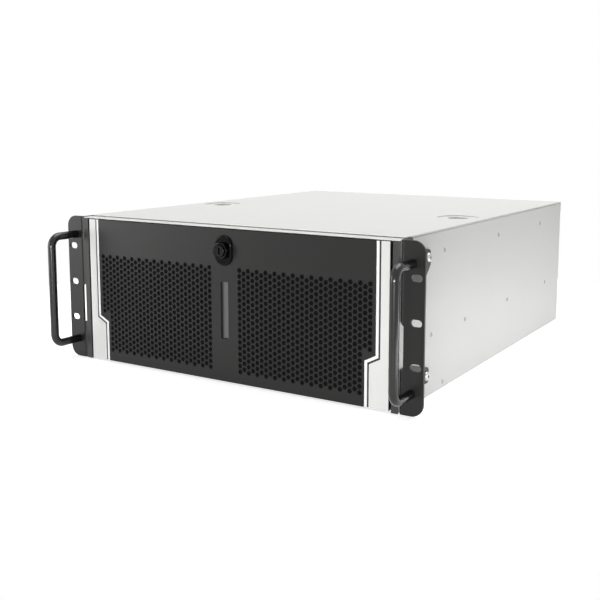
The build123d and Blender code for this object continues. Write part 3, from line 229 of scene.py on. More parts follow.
def ground(name, colour, size, spread, stretch=(1, 1, 1)):
    """A material whose colour drifts a little over patches of a size, with the pattern that drifts it."""
    made = bpy.data.materials.new(name)
    made.use_nodes = True
    tree = made.node_tree
    tree.nodes.clear()
    shader = put(tree, "ShaderNodeBsdfPrincipled")
    put(tree, "ShaderNodeOutputMaterial", {"Surface": shader.outputs[0]})
    place = put(tree, "ShaderNodeTexCoord").outputs["Object"]
    drawn = put(tree, "ShaderNodeMapping", {"Vector": place, "Scale": stretch})
    drift = put(tree, "ShaderNodeTexNoise",
                {"Vector": drawn.outputs[0], "Scale": 1 / (size * MM), "Detail": 3.0}).outputs["Fac"]
    dark = [c * (1 - spread) for c in colour[:3]] + [1.0]
    tint = put(tree, "ShaderNodeMix", {0: drift, MIX_A: dark, MIX_B: colour}, data_type="RGBA")
    tree.links.new(tint.outputs[MIX_OUT], shader.inputs["Base Color"])
    return made, tree, shader, place, drift


def relief(tree, shader, pattern, rough, swing, depth, strength=0.5):
    """Roughness and fine relief that follow one pattern."""
    gloss = put(tree, "ShaderNodeMapRange",
                {"Value": pattern, "To Min": rough - swing, "To Max": rough + swing})
    tree.links.new(gloss.outputs[0], shader.inputs["Roughness"])
    bump = put(tree, "ShaderNodeBump", {"Height": pattern, "Distance": depth * MM, "Strength": strength})
    tree.links.new(bump.outputs[0], shader.inputs["Normal"])


def powder_coat(name, colour, rough, peel, depth, spread=0.06, sheen=0.5):
    """Powder coat on sheet steel: baked grains flow into a faint orange peel that softens highlights."""
    made, tree, shader, place, _ = ground(name, colour, 90, spread)
    grain = put(tree, "ShaderNodeTexNoise", {"Vector": place, "Scale": 1 / (peel * MM), "Detail": 3.0})
    relief(tree, shader, grain.outputs["Fac"], rough, 0.06, depth)
    shader.inputs["IOR"].default_value = 1.5
    shader.inputs["Specular IOR Level"].default_value = sheen
    return made


def moulded(name, colour, rough, grit, depth, spread=0.08, ior=1.53):
    """Moulded plastic: a spark-eroded mould leaves a fine even grit that keeps the sheen low.

    The grit is drawn several times as coarse as the real 0.1 mm, so that it shows.
    """
    made, tree, shader, place, _ = ground(name, colour, 60, spread)
    cells = put(tree, "ShaderNodeTexVoronoi", {"Vector": place, "Scale": 1 / (grit * MM)})
    relief(tree, shader, cells.outputs["Distance"], rough, 0.05, depth)
    shader.inputs["IOR"].default_value = ior
    return made


def rolled_metal(name, colour, rough, grain, stretch=(1, 1, 1), spread=0.12):
    """Rolled, drawn or plated metal: fine lines along one way spread the highlight across them.

    The lines are drawn near 1 mm apart, far coarser than the real ones, so that they show.
    """
    made, tree, shader, _, drift = ground(name, colour, grain, spread, stretch)
    relief(tree, shader, drift, rough, 0.08, 0.01, 0.4)
    shader.inputs["Metallic"].default_value = 1.0
    return made


def galvanised(name, colour, spangle):
    """Hot-dip zinc on steel: crystals meet in flat patches that each shine a little differently."""
    made, tree, shader, place, _ = ground(name, colour, 40, 0.06)
    cells = put(tree, "ShaderNodeTexVoronoi", {"Vector": place, "Scale": 1 / (spangle * MM)})
    patch = put(tree, "ShaderNodeSeparateColor", {"Color": cells.outputs["Color"]})
    relief(tree, shader, patch.outputs[0], 0.42, 0.09, 0.004, 0.3)
    shader.inputs["Metallic"].default_value = 1.0
    return made


def circuit_board(name, colour, pad):
    """Glass-epoxy board under solder mask: copper runs stand a little proud and lighter.

    The runs are drawn about 3 mm apart, wider than the real ones, so that they show.
    """
    made, tree, shader, place, _ = ground(name, colour, 50, 0.1)
    runs = put(tree, "ShaderNodeTexBrick", {"Vector": place, "Scale": 1 / (14 * MM), "Mortar Size": 0.06,
                                            "Brick Width": 1.7, "Row Height": 0.22}, offset=0.37, squash=1.6)
    spots = put(tree, "ShaderNodeTexVoronoi", {"Vector": place, "Scale": 1 / (4 * MM)})
    dots = put(tree, "ShaderNodeMapRange", {"Value": spots.outputs["Distance"], "From Min": 0.12,
                                            "From Max": 0.16, "To Min": 1.0, "To Max": 0.0})
    light = [min(1.0, c * 1.5 + 0.004) for c in colour[:3]] + [1.0]
    mask = put(tree, "ShaderNodeMix", {0: runs.outputs["Fac"], MIX_A: colour, MIX_B: light}, data_type="RGBA")
    tint = put(tree, "ShaderNodeMix", {0: dots.outputs[0], MIX_A: mask.outputs[MIX_OUT], MIX_B: pad},
               data_type="RGBA")
    tree.links.new(tint.outputs[MIX_OUT], shader.inputs["Base Color"])
    relief(tree, shader, runs.outputs["Fac"], 0.4, 0.05, 0.05, 0.4)
    return made


def open_foam(name, colour, cell):
    """Open-cell foam: a net of thin ribs round cells whose middles are darkened, painted shade inside the
    open cells.
    """
    made, tree, shader, place, _ = ground(name, colour, 30, 0.1)
    cells = put(tree, "ShaderNodeTexVoronoi", {"Vector": place, "Scale": 1 / (cell * MM)},
                feature="DISTANCE_TO_EDGE")
    rib = put(tree, "ShaderNodeMapRange", {"Value": cells.outputs["Distance"], "From Max": 0.18,
                                           "To Min": 1.0, "To Max": 0.0})
    # Painted shade: the cell middles take a third of the rib colour, for the shade inside the open cells
    dark = [c * 0.3 for c in colour[:3]] + [1.0]
    tint = put(tree, "ShaderNodeMix", {0: rib.outputs[0], MIX_A: dark, MIX_B: colour}, data_type="RGBA")
    tree.links.new(tint.outputs[MIX_OUT], shader.inputs["Base Color"])
    relief(tree, shader, rib.outputs[0], 0.92, 0.04, 0.6, 0.8)
    shader.inputs["Specular IOR Level"].default_value = 0.2
    return made


def make_finishes():
    """Every finish of the server by the record's slot name, and that of pins and rivets by their own."""
    look = bpy.context.scene.server_colours
    return {
        # Case: an even matt coat that shines only at a low angle
        "light_grey_steel": powder_coat("powder_coat_light_grey", look.case_grey, 0.5, 1.6, 0.02, 0.03),
        # Door and ears: a smooth dark coat with a dim, blurred mirror of the room
        "black_steel": powder_coat("powder_coat_black", look.coat_black, 0.36, 1.1, 0.035, 0.15, 0.28),
        # Handles: dipped enamel with long soft highlights along the bar
        "black_gloss": powder_coat("enamel_gloss_black", look.handle_black, 0.2, 7.0, 0.01, 0.1),
        # Posts, door frame and mains inlet: moulded plastic, an even dull black
        "black_plastic": moulded("abs_black", linear("#1C1C1C"), 0.5, 0.7, 0.03),
        # Side trims: satin paint, pale and nearly flat in tone
        "silver_trim": powder_coat("paint_silver_satin", look.trim_silver, 0.42, 0.9, 0.012, 0.03),
        # Stripes: clean white plastic without glare
        "white_stripe": moulded("abs_white", look.stripe_white, 0.45, 0.8, 0.01, 0.02),
        # Filters: cut foam, black and without shine
        "filter_foam": open_foam("foam_black", linear("#0F0F0F"), 1.2),
        # Bare plate of the door: a flat grey, streaked along its width
        "badge_grey": rolled_metal("brushed_aluminium_grey", look.badge_grey, 0.42, 0.9, (0.1, 1, 1)),
        # Screws and wire: small bright highlights
        "zinc_screw": rolled_metal("zinc_plate", linear("#C4C4C4"), 0.3, 0.8),
        # Lock: a die casting under deep black lacquer, with a few sharp glints
        "lock_black": powder_coat("zamak_black_gloss", linear("#060606"), 0.12, 5.0, 0.006, 0.1, 0.12),
        # Plug and cam: dark nickel that mirrors in spots
        "lock_steel": rolled_metal("nickel_plate_dark", linear("#2A2A2A"), 0.2, 0.7),
        # Pins: steel coloured near black so that it hardly shows beside the door, painted shade for the
        # shaded gap there
        "hinge_pins": rolled_metal("steel_dark_painted_shade", linear("#1E1E1E"), 0.35, 0.7),
        # Rivets: dull steel, a little darker than the coat round them
        "side_rivets": rolled_metal("steel_dull_grey", linear("#A6A6A6"), 0.55, 0.8),
        # Inner sheets: a patchwork of dull and bright crystals
        "zinc_sheet": galvanised("galvanised_sheet", linear("#BDBFC0"), 5),
        # Fans: moulded plastic with a low sheen
        "fan_plastic": moulded("pbt_black", linear("#191919"), 0.48, 0.8, 0.02),
        # Boards: green lacquer with gold-coloured pads
        "board_green": circuit_board("board_green_mask", linear("#14401F"), linear("#A98F4E")),
        "socket_plastic": moulded("nylon_dark", linear("#232325"), 0.5, 0.6, 0.02),
        "module_green": circuit_board("module_green_mask", linear("#1A5029"), linear("#B49A56")),
        # Fins: bright metal with lines along the extrusion
        "bare_aluminium": rolled_metal("extruded_aluminium", linear("#CDCFD1"), 0.34, 0.8, (1, 0.06, 1)),
        # Port shells and brackets: plated steel, brighter than the sheets
        "port_steel": rolled_metal("nickel_shell", linear("#C6C7C8"), 0.3, 0.9, (1, 1, 0.1), 0.06),
        # Cards: the same board under black lacquer
        "card_black": circuit_board("card_black_mask", linear("#17191B"), linear("#8F8152")),
        # Card covers: dark satin paint
        "shroud_grey": powder_coat("paint_dark_grey", linear("#3A3B3D"), 0.42, 1.0, 0.02),
        # Drives: a dull casting
        "drive_aluminium": rolled_metal("cast_aluminium", linear("#B3B5B7"), 0.45, 1.4),
        # Buttons and lights: smooth plastic with a clear highlight
        "button_plastic": moulded("abs_button_black", linear("#141414"), 0.3, 0.7, 0.01),
        "light_pipe": moulded("acrylic_clear_green", linear("#CFE3D4"), 0.15, 0.9, 0.005, 0.04, 1.49),
    }


FINISHES = {}


# Sizes and colours that a user would change

def length(name, description, default):
    """A size in metres, given in millimetres."""
    return FloatProperty(name=name, description=description, default=default * MM, unit="LENGTH", precision=5)


def colour(name, description, code):
    """A colour, given as a hex value."""
    return FloatVectorProperty(name=name, description=description, default=linear(code), size=4,
                               subtype="COLOR", min=0, max=1)


class ServerSizes(bpy.types.PropertyGroup):
    """Sizes of the pieces that are modelled here."""
    hole_across: length("Hole", "Diameter of a hole in the door", 5.2)
    hole_pitch: length("Pitch", "Distance between holes in the door", 6.67)
    field_inner: length("Field start", "First column of holes from the middle of the door", 20.6)
    field_low: length("Field bottom", "Lowest row of holes above the floor", 16.2)
    columns: IntProperty(name="Columns", description="Columns of holes in each field", default=29)
    rows: IntProperty(name="Rows", description="Rows of holes in each column", default=18)
    short_columns: IntProperty(name="Short columns", description="Outer columns that end above the step",
                               default=2)
    hole_edge: length("Hole edge", "Broken edge of a hole in the door", 0.4)
    lock_hole: length("Lock hole", "Radius of the hole for the lock", 9.6)
    sheet_edge: length("Sheet edge", "Rounding of cut sheet edges", 0.35)
    rod_across: length("Handle bar", "Diameter of the handle bar", 9.4)
    rod_bend: length("Handle bend", "Bend radius at the middle of the handle bar", 12)
    rim_width: length("Lock rim width", "Width of the oval rim of the lock", 24)
    rim_round: length("Lock rim rounding", "Rounding of the rim's front edge", 2.2)
    foam_cell: length("Foam cut", "Spacing of the points on the foam pads", 5)
    wire: length("Guard wire", "Radius of the wire of the fan guards", 0.8)


class ServerColours(bpy.types.PropertyGroup):
    """Colours of the finishes that the front shows."""
    case_grey: colour("Case", "Powder coat of the case", "#E1E1DF")
    coat_black: colour("Door and ears", "Black powder coat", "#1A1A19")
    handle_black: colour("Handles", "Gloss enamel of the handles", "#0B0B0B")
    trim_silver: colour("Trim", "Satin paint of the side trims", "#E0E0DE")
    stripe_white: colour("Stripe", "Plastic of the stepped stripes", "#FAFAFA")
    badge_grey: colour("Badge place", "Bare plate in the recess of the door", "#5C5C5C")


# Case

def fit_edges(bm):
    """Lowers the cover's side edges onto the flanges that it slides on, and thins its front edge."""
    low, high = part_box("top_cover")
    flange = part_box("base_tray")[1].z
    strip, thinned, edge, rest = 4 * MM, 0.6 * MM, 1 * MM, 0.03 * MM
    bmesh.ops.bisect_plane(bm, geom=list(bm.verts) + list(bm.edges) + list(bm.faces), dist=TOUCH,
                           plane_co=(0, low.y + strip, 0), plane_no=(0, 1, 0))
    for v in bm.verts:
        if flange < v.co.z < flange + edge:
            if v.co.y < low.y + edge:
                v.co.z += thinned
            elif abs(v.co.x) > high.x - edge:
                v.co.z = flange + rest


class SERVER_OT_case(bpy.types.Operator):
    """Cover, tray and front rail with eased sheet edges"""
    bl_idname = "server.case"
    bl_label = "Case"

    def execute(self, context):
        edge = context.scene.server_sizes.sheet_edge
        cover_edge, tray_edge = edge * 0.7, edge * 0.9
        bm = merged_copy("top_cover")
        fit_edges(bm)
        ease_edges(bm, cover_edge)
        keep("top_cover_eased", bm, owner("top_cover"), cad_slot("top_cover"), ["top_cover"])
        for node in ("top_rail", "base_tray"):
            eased_piece(node, tray_edge)
        return {"FINISHED"}


class SERVER_OT_inner_sheets(bpy.types.Operator):
    """Inner sheet-metal parts with eased edges"""
    bl_idname = "server.inner_sheets"
    bl_label = "Inner sheets"

    def execute(self, context):
        inner_edge = context.scene.server_sizes.sheet_edge * 0.7
        for node in ("front_panel", "rear_panel", "slot_frame", "fan_wall", "psu_case", "drive_cages",
                     "io_shield", "io_ports", "usb_ports", "slot_cover", "psu_inlet", "cpu_heatsink",
                     "memory_modules", "board_sockets", "hard_drives", "power_button", "reset_button"):
            eased_piece(node, inner_edge)
        return {"FINISHED"}


class SERVER_OT_finishes(bpy.types.Operator):
    """Finishes of every CAD node that is shown as it is"""
    bl_idname = "server.finishes"
    bl_label = "Finishes"

    def execute(self, context):
        for node, shown in frame["nodes"].items():
            shown.data.materials.clear()
            shown.data.materials.append(FINISHES.get(node) or FINISHES[cad_slot(node)])
        return {"FINISHED"}


# Door

def hole_cell(bm, layer, sizes, thick):
    """One six-sided cell of the skin's face, with the wall of its hole and a broken edge at both ends."""
    turn = facing((0, -1, 0)) @ Matrix.Rotation(math.radians(30), 4, "Z")
    reach = sizes.hole_pitch / math.sqrt(3)
    rim = bmesh.ops.create_circle(bm, segments=6, radius=reach, matrix=turn)["verts"]
    bmesh.ops.subdivide_edges(bm, edges=edges_of(rim), cuts=1)
    last = list(bm.edges)
    radius, broken = sizes.hole_across / 2, sizes.hole_edge
    for wide, deep in ((broken, 0), (0, broken), (0, thick - broken), (broken, thick)):
        ring = bmesh.ops.create_circle(bm, segments=12, radius=radius + wide,
                                       matrix=Matrix.Translation((0, deep, 0)) @ turn)["verts"]
        edges = edges_of(ring)
        bmesh.ops.bridge_loops(bm, edges=last + edges)
        last = edges
    for edge in last:
        edge[layer] = 1
    return list(bm.verts) + list(bm.edges) + list(bm.faces)


def outline_edges(bm, points, y):
    """A closed line of edges through points of X and Z."""
    corners = [bm.verts.new((x, y, z)) for x, z in points]
    return [bm.edges.new(pair) for pair in zip(corners, corners[1:] + corners[:1])]


def skin_outline():
    """Corners of the skin, read from its CAD node: the straight outer line with its steps."""
    low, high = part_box("door_skin")
    points = {(round(v.co.x, 5), round(v.co.z, 5)) for v in frame["nodes"]["door_skin"].data.vertices}
    lower = max(x for x, z in points if abs(z - low.z) < TOUCH)
    step_low = max(z for x, z in points if abs(x - lower) < TOUCH)
    step_high = min(z for x, z in points if abs(x - high.x) < TOUCH)
    right = [(high.x, high.z), (high.x, step_high), (lower, step_low), (lower, low.z)]
    return right + [(-x, z) for x, z in reversed(right)]


def copy_to(bm, geom, vec):
    """Copies some geometry and moves the copy."""
    made = bmesh.ops.duplicate(bm, geom=geom)["geom"]
    bmesh.ops.translate(bm, verts=only(bmesh.types.BMVert, made), vec=vec)
    return made


def hole_fields(bm, cell, sizes, y, step_top):
    """Copies the cell into both fields: columns of every other row, the outer ones cut short by the step."""
    across = sizes.hole_pitch * math.sqrt(3) / 2
    full = sizes.columns - sizes.short_columns
    for odd in (0, 1):
        for short in (False, True):
            least = step_top + sizes.hole_across / 2 if short else 0
            column = []
            for row in range(sizes.rows - odd):
                z = sizes.field_low + (row + odd / 2) * sizes.hole_pitch
                if z > least:
                    column += copy_to(bm, cell, (0, y, z))
            for n in range(odd, sizes.columns, 2):
                if (n >= full) == short:
                    x = sizes.field_inner + n * across
                    copy_to(bm, column, (x, 0, 0))
                    copy_to(bm, column, (-x, 0, 0))
            bmesh.ops.delete(bm, geom=only(bmesh.types.BMVert, column), context="VERTS")


class SERVER_OT_door_skin(bpy.types.Operator):
    """Perforated sheet of the door with every hole at its real pitch"""
    bl_idname = "server.door_skin"
    bl_label = "Door skin"

    def execute(self, context):
        sizes = context.scene.server_sizes
        low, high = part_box("door_skin")
        bm = bmesh.new()
        layer = bm.edges.layers.int.new("hole_rim")
        thick = high.y - low.y
        cell = hole_cell(bm, layer, sizes, thick)
        outline = skin_outline()
        hole_fields(bm, cell, sizes, low.y, outline[1][1])
        bmesh.ops.delete(bm, geom=only(bmesh.types.BMVert, cell), context="VERTS")
        bmesh.ops.remove_doubles(bm, verts=bm.verts, dist=2 * TOUCH)
        rims = [e for e in bm.edges if e.is_boundary and not e[layer]]
        rims += outline_edges(bm, outline, low.y)
        b_low, b_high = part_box("badge_plate")
        rims += outline_edges(bm, [(b_low.x, b_low.z), (b_high.x, b_low.z), (b_high.x, b_high.z),
                                   (b_low.x, b_high.z)], low.y)
        l_low, l_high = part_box("lock_barrel")
        lock = facing((0, -1, 0), (0, low.y, (l_low.z + l_high.z) / 2))
        hole = bmesh.ops.create_circle(bm, segments=32, radius=sizes.lock_hole, matrix=lock)["verts"]
        rims += edges_of(hole)
        bmesh.ops.triangle_fill(bm, use_beauty=True, use_dissolve=False, edges=rims, normal=(0, -1, 0))
        face = [f for f in bm.faces if all(abs(v.co.y - low.y) < TOUCH for v in f.verts)]
        cut = [e for e in bm.edges if e.is_boundary and not e[layer]]
        walls = bmesh.ops.extrude_edge_only(bm, edges=cut)["geom"]
        bmesh.ops.translate(bm, verts=only(bmesh.types.BMVert, walls), vec=(0, thick, 0))
        back = bmesh.ops.duplicate(bm, geom=face)["geom"]
        bmesh.ops.translate(bm, verts=only(bmesh.types.BMVert, back), vec=(0, thick, 0))
        close_up(bm)
        keep("door_skin_perforated", bm, "front_door", "black_steel", ["door_skin"])
        return {"FINISHED"}


class SERVER_OT_door_trims(bpy.types.Operator):
    """Stripes, side trims, posts, frame and the bare badge plate, with eased edges"""
    bl_idname = "server.door_trims"
    bl_label = "Door trims"

    def execute(self, context):
        edge = context.scene.server_sizes.sheet_edge
        trim_edge, gap = edge * 0.6, 0.05 * MM
        for node in ("accent_stripes", "side_trim_left", "side_trim_right", "badge_plate"):
            eased_piece(node, trim_edge)
        eased_piece("door_frame", edge)
        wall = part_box("base_tray")[1].x - gap
        for node in ("door_post_left", "door_post_right"):
            low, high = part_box(node)
            lip = max(abs(low.x), abs(high.x))
            bm = merged_copy(node)
            for v in bm.verts:
                if abs(v.co.x) > lip - TOUCH:
                    v.co.x = math.copysign(wall, v.co.x)
            ease_edges(bm, edge)
            keep(node + "_eased", bm, "chassis", cad_slot(node), [node])
        return {"FINISHED"}


class SERVER_OT_filters(bpy.types.Operator):
    """Two foam pads with soft edges and an uneven cut face"""
    bl_idname = "server.filters"
    bl_label = "Dust filters"

    def execute(self, context):
        cell = context.scene.server_sizes.foam_cell
        soft_edge, sunk, uneven, lump = 1.2 * MM, 0.35 * MM, 0.3 * MM, 7 * MM
        low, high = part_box("dust_filters")
        bm = merged_copy("dust_filters")
        ease_edges(bm, soft_edge)
        for axis in (0, 2):
            normal = Vector([float(n == axis) for n in range(3)])
            for cut in range(1, int((high[axis] - low[axis]) / cell)):
                geom = list(bm.verts) + list(bm.edges) + list(bm.faces)
                bmesh.ops.bisect_plane(bm, geom=geom, dist=TOUCH, plane_co=low + normal * cut * cell,
                                       plane_no=normal)
        half = (high.y - low.y) / 2
        for v in bm.verts:
            depth = (v.co.y - low.y - half) / half
            v.co.y -= depth * (sunk + uneven * noise.noise(v.co / lump))
        pads = keep("dust_filter_pads", bm, "front_door", "filter_foam", ["dust_filters"], smooth=60)
        return {"FINISHED"}


class SERVER_OT_lock(bpy.types.Operator):
    """Oval lock rim with its barrel and turning plug"""
    bl_idname = "server.lock"
    bl_label = "Lock"

    def execute(self, context):
        sizes = context.scene.server_sizes
        low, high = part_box("lock_barrel")
        plug_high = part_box("lock_plug")[1]
        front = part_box("door_skin")[0].y
        centre = Vector((0, front, (low.z + high.z) / 2))
        radius, rise = sizes.rim_width / 2, (high.z - low.z - sizes.rim_width) / 2
        plug_gap, hole_gap, rim_proud, lip, sides = 0.05 * MM, 0.1 * MM, 3 * MM, 1.2 * MM, 48
        proud, bore, outer = front - low.y, plug_high.x + plug_gap, sizes.lock_hole - hole_gap
        bm = bmesh.new()
        oval = bmesh.ops.create_circle(bm, segments=sides, radius=radius, cap_ends=True,
                                       matrix=facing((0, -1, 0), centre))["verts"]
        for v in oval:
            v.co.z += math.copysign(rise, v.co.z - centre.z)
        raised = pull(bm, list(oval[0].link_faces), (0, -rim_proud, 0), leave=True)
        bmesh.ops.bevel(bm, geom=list(raised[0].edges), offset=sizes.rim_round, offset_type="OFFSET",
                        affect="EDGES", segments=6, profile=0.5, material=-1)
        turned(bm, facing((0, -1, 0), centre), [
            (bore, front - high.y), (outer, front - high.y), (outer, proud - lip),
            (outer - lip * 0.3, proud - lip * 0.3), (outer - lip, proud),
            (bore + lip, proud), (bore + lip * 0.3, proud - lip * 0.3), (bore, proud - lip),
            (bore, front - high.y)], sides)
        close_up(bm)
        keep("lock_barrel_turned", bm, "front_door", "lock_black", ["lock_barrel"], smooth=40)
        eased_piece("lock_plug", sizes.sheet_edge, smooth=50)
        eased_piece("lock_cam", sizes.sheet_edge, smooth=50)
        return {"FINISHED"}


# Handles and ears

def bend(bm, faces, centre):
    """Sweeps an end face through a quarter turn about a line along X."""
    out = bmesh.ops.spin(bm, geom=faces, cent=centre, axis=(1, 0, 0), angle=math.radians(90), steps=12)
    return only(bmesh.types.BMFace, out["geom_last"])


class SERVER_OT_handles(bpy.types.Operator):
    """Two round bars, each bent twice and standing on its ear"""
    bl_idname = "server.handles"
    bl_label = "Handles"

    def execute(self, context):
        sizes = context.scene.server_sizes
        radius, turn = sizes.rod_across / 2, sizes.rod_bend
        for node in ("handle_left", "handle_right"):
            low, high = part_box(node)
            x = (low.x + high.x) / 2
            front, foot = low.y + radius, high.y
            top, bottom = high.z - radius, low.z + radius
            bm = bmesh.new()
            ring = bmesh.ops.create_circle(bm, segments=28, radius=radius, cap_ends=True,
                                           matrix=facing((0, -1, 0), (x, foot, top)))["verts"]
            end = pull(bm, list(ring[0].link_faces), (0, front + turn - foot, 0))
            end = bend(bm, end, (x, front + turn, top - turn))
            end = pull(bm, end, (0, 0, bottom - top + 2 * turn))
            end = bend(bm, end, (x, front + turn, bottom + turn))
            pull(bm, end, (0, foot - front - turn, 0))
            close_up(bm)
            keep(node + "_bar", bm, "chassis", "black_gloss", [node])
        return {"FINISHED"}


class SERVER_OT_ears(bpy.types.Operator):
    """Folded rack ears with eased edges"""
    bl_idname = "server.ears"
    bl_label = "Rack ears"

    def execute(self, context):
        for node in ("ear_left", "ear_right"):
            eased_piece(node, context.scene.server_sizes.sheet_edge)
        return {"FINISHED"}


# Fasteners

def seat_of(points):
    """Where a fastener's head seats, which way it points, and its head and shank sizes."""
    sizes = [high - low for low, high in (span(points, axis) for axis in range(3))]
    axis = max(range(3), key=lambda a: abs(sizes[a] - sorted(sizes)[1]))
    centre = middle(points)
    way = Vector((0, 0, 0))
    way[axis] = math.copysign(1, centre.x) if axis == 0 else 1
    heights = sorted({round((p - centre).dot(way), 6) for p in points})
    tail, top = heights[0], heights[-1]
    head = max((p - centre - way * (p - centre).dot(way)).length for p in points)
    wide = [h for h in heights if max((p - centre - way * h).length for p in points
                                      if abs((p - centre).dot(way) - h) < TOUCH) > head * NEARLY]
    seat = min(wide)
    shank = max((p - centre - way * tail).length for p in points if abs((p - centre).dot(way) - tail) < TOUCH)
    return facing(way, centre + way * seat), head, top - seat, shank, seat - tail


def pan_screw(bm, place, radius, height, shank, reach):
    """Pan-head screw along its own Z axis, seated at zero, with a cross recess."""
    old = set(bm.edges)
    turned(bm, place, [(0, -reach), (shank, -reach), (shank, 0), (radius, 0), (radius, 0.3 * height),
                       (0.93 * radius, 0.65 * height), (0.78 * radius, 0.9 * height),
                       (0.6 * radius, height)], 24)
    rim = [e for e in bm.edges if e not in old and e.is_boundary]
    top = place @ Matrix.Translation((0, 0, height))
    grid = bmesh.ops.create_grid(bm, x_segments=3, y_segments=3, size=0.42 * radius, matrix=top)["verts"]
    cells = {f for v in grid for f in v.link_faces}
    back = top.inverted()
    corners = [f for f in cells if min(abs(c) for c in (back @ f.calc_center_median()).xy) > TOUCH]
    arms = [f for f in cells if f not in corners]
    bmesh.ops.delete(bm, geom=corners, context="FACES")
    rim += [e for f in arms for e in f.edges if e.is_boundary]
    pull(bm, arms, place.to_3x3() @ Vector((0, 0, -0.7 * height)))
    bmesh.ops.bridge_loops(bm, edges=rim)


def blind_rivet(bm, place, radius, height, shank, reach):
    """Blind rivet along its own Z axis, with a domed head and the dimple of its drawn pin."""
    turned(bm, place, [(0, -reach), (shank, -reach), (shank, 0), (radius, 0), (0.96 * radius, 0.35 * height),
                       (0.75 * radius, 0.8 * height), (0.5 * radius, height), (0.4 * radius, height),
                       (0.36 * radius, 0.5 * height), (0, 0.5 * height)], 20)


def thumb_screw(bm, place, radius, height, shank, reach):
    """Thumbscrew along its own Z axis, with a knurled edge and a dished face."""
    old = set(bm.verts)
    ribs, groove = 40, 0.95
    turned(bm, place, [(0, -reach), (shank, -reach), (shank, 0), (0.7 * radius, 0),
                       (0.7 * radius, 0.15 * height), (0.95 * radius, 0.18 * height),
                       (radius, 0.24 * height), (radius, 0.88 * height),
                       (0.92 * radius, height), (0.6 * radius, height), (0.54 * radius, 0.9 * height),
                       (0, 0.9 * height)], ribs)
    back = place.inverted()
    for v in bm.verts:
        spot = back @ v.co
        turn = round(math.atan2(spot.y, spot.x) / math.tau * ribs)
        if v not in old and spot.xy.length > NEARLY * radius and turn % 2:
            v.co = place @ Vector((spot.x * groove, spot.y * groove, spot.z))


class SERVER_OT_fasteners(bpy.types.Operator):
    """Cross-head screws, blind rivets and thumbscrews"""
    bl_idname = "server.fasteners"
    bl_label = "Fasteners"

    def execute(self, context):
        for node, shape in (("chassis_screws", pan_screw), ("side_rivets", blind_rivet),
                            ("cover_screws", thumb_screw)):
            bm = bmesh.new()
            for points in solids(node):
                shape(bm, *seat_of(points))
            close_up(bm)
            piece = keep(node + "_turned", bm, owner(node), "zinc_screw", [node], smooth=30)
            piece.data.materials[0] = FINISHES.get(node) or FINISHES["zinc_screw"]
        return {"FINISHED"}


# Fans

def wire_ring(bm, centre, radius, wire):
    """Ring of round wire that faces the back."""
    start = Matrix.Translation(centre + Vector((radius, 0, 0)))
    ring = bmesh.ops.create_circle(bm, segments=8, radius=wire, matrix=start @ facing((0, 0, 1)))["verts"]
    bmesh.ops.spin(bm, geom=ring + edges_of(ring), cent=centre, axis=(0, 1, 0), angle=math.tau, steps=40,
                   use_merge=True)


def wire_bar(bm, start, end, wire):
    """Straight round wire between two points."""
    ring = bmesh.ops.create_circle(bm, segments=8, radius=wire, cap_ends=True,
                                   matrix=facing(end - start, start))["verts"]
    pull(bm, list(ring[0].link_faces), end - start, leave=True)


class SERVER_OT_guards(bpy.types.Operator):
    """Wire guards over the rear fans and the supply's fan"""
    bl_idname = "server.guards"
    bl_label = "Fan guards"

    def execute(self, context):
        wire = context.scene.server_sizes.wire
        bm = bmesh.new()
        for points in solids("fan_guards"):
            centre = middle(points)
            reach = (span(points, 0)[1] - span(points, 0)[0]) / 2
            for share in (0.22, 0.42, 0.62, 0.82):
                wire_ring(bm, centre, reach * share, wire)
            for arm in (Vector((reach, 0, 0)), Vector((0, 0, reach))):
                lift = Vector((0, 0.5 * wire, 0))
                wire_bar(bm, centre - arm + lift, centre + arm + lift, wire)
        close_up(bm)
        keep("fan_guards_wire", bm, "chassis", "zinc_screw", ["fan_guards"], smooth=60)
        return {"FINISHED"}


class SERVER_OT_cards(bpy.types.Operator):
    """Graphics cards with plated brackets"""
    bl_idname = "server.cards"
    bl_label = "Graphics cards"

    def execute(self, context):
        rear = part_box("gpu_shrouds")[1].y
        bm = merged_copy("gpu_boards")
        for face in bm.faces:
            face.material_index = int(face.calc_center_median().y > rear - TOUCH)
        cards = keep("gpu_boards_bracketed", bm, "chassis", "card_black", ["gpu_boards"])
        cards.data.materials.append(FINISHES["port_steel"])
        return {"FINISHED"}


# Stage

FLOOR_RADIUS, FLOOR_GLOW = 0.66, 0.72
# Light from the room in front of the server and behind it
ROOM_FRONT, ROOM_BEHIND = 0.12, 0.22
# Name, place, aim, width, height and watts of each lamp
LAMPS = (
    ("softbox_left", (-2.3, -1.9, 0.5), (0, -0.2, 0.1), 1.1, 1.6, 27.0),
    ("softbox_low", (0.8, -2.4, 0.1), (0, -0.2, 0.1), 1.2, 0.18, 35.0),
    ("softbox_top", (0.1, 0.4, 2.4), (0, 0.1, 0.1), 2.0, 2.0, 49.0),
    ("bounce_right", (0.42, 0.0, 0.02), (0.214, 0.0, 0.02), 0.7, 0.04, 0.27),
)
CAMERA_PLACE = (0.59374, -1.01859, 0.28132)
# Degrees to the right of straight in front, down, and about the line of sight
CAMERA_TURN = (30.98, 7.67, 0.19)


def seen_rays(tree):
    """One for rays that show the background: seen directly, in a reflection or through something clear."""
    path = put(tree, "ShaderNodeLightPath")
    seen = put(tree, "ShaderNodeMath",
               {0: path.outputs["Is Camera Ray"], 1: path.outputs["Is Glossy Ray"]}, operation="MAXIMUM")
    return put(tree, "ShaderNodeMath", {0: seen.outputs[0], 1: path.outputs["Is Transmission Ray"]},
               operation="MAXIMUM").outputs[0]


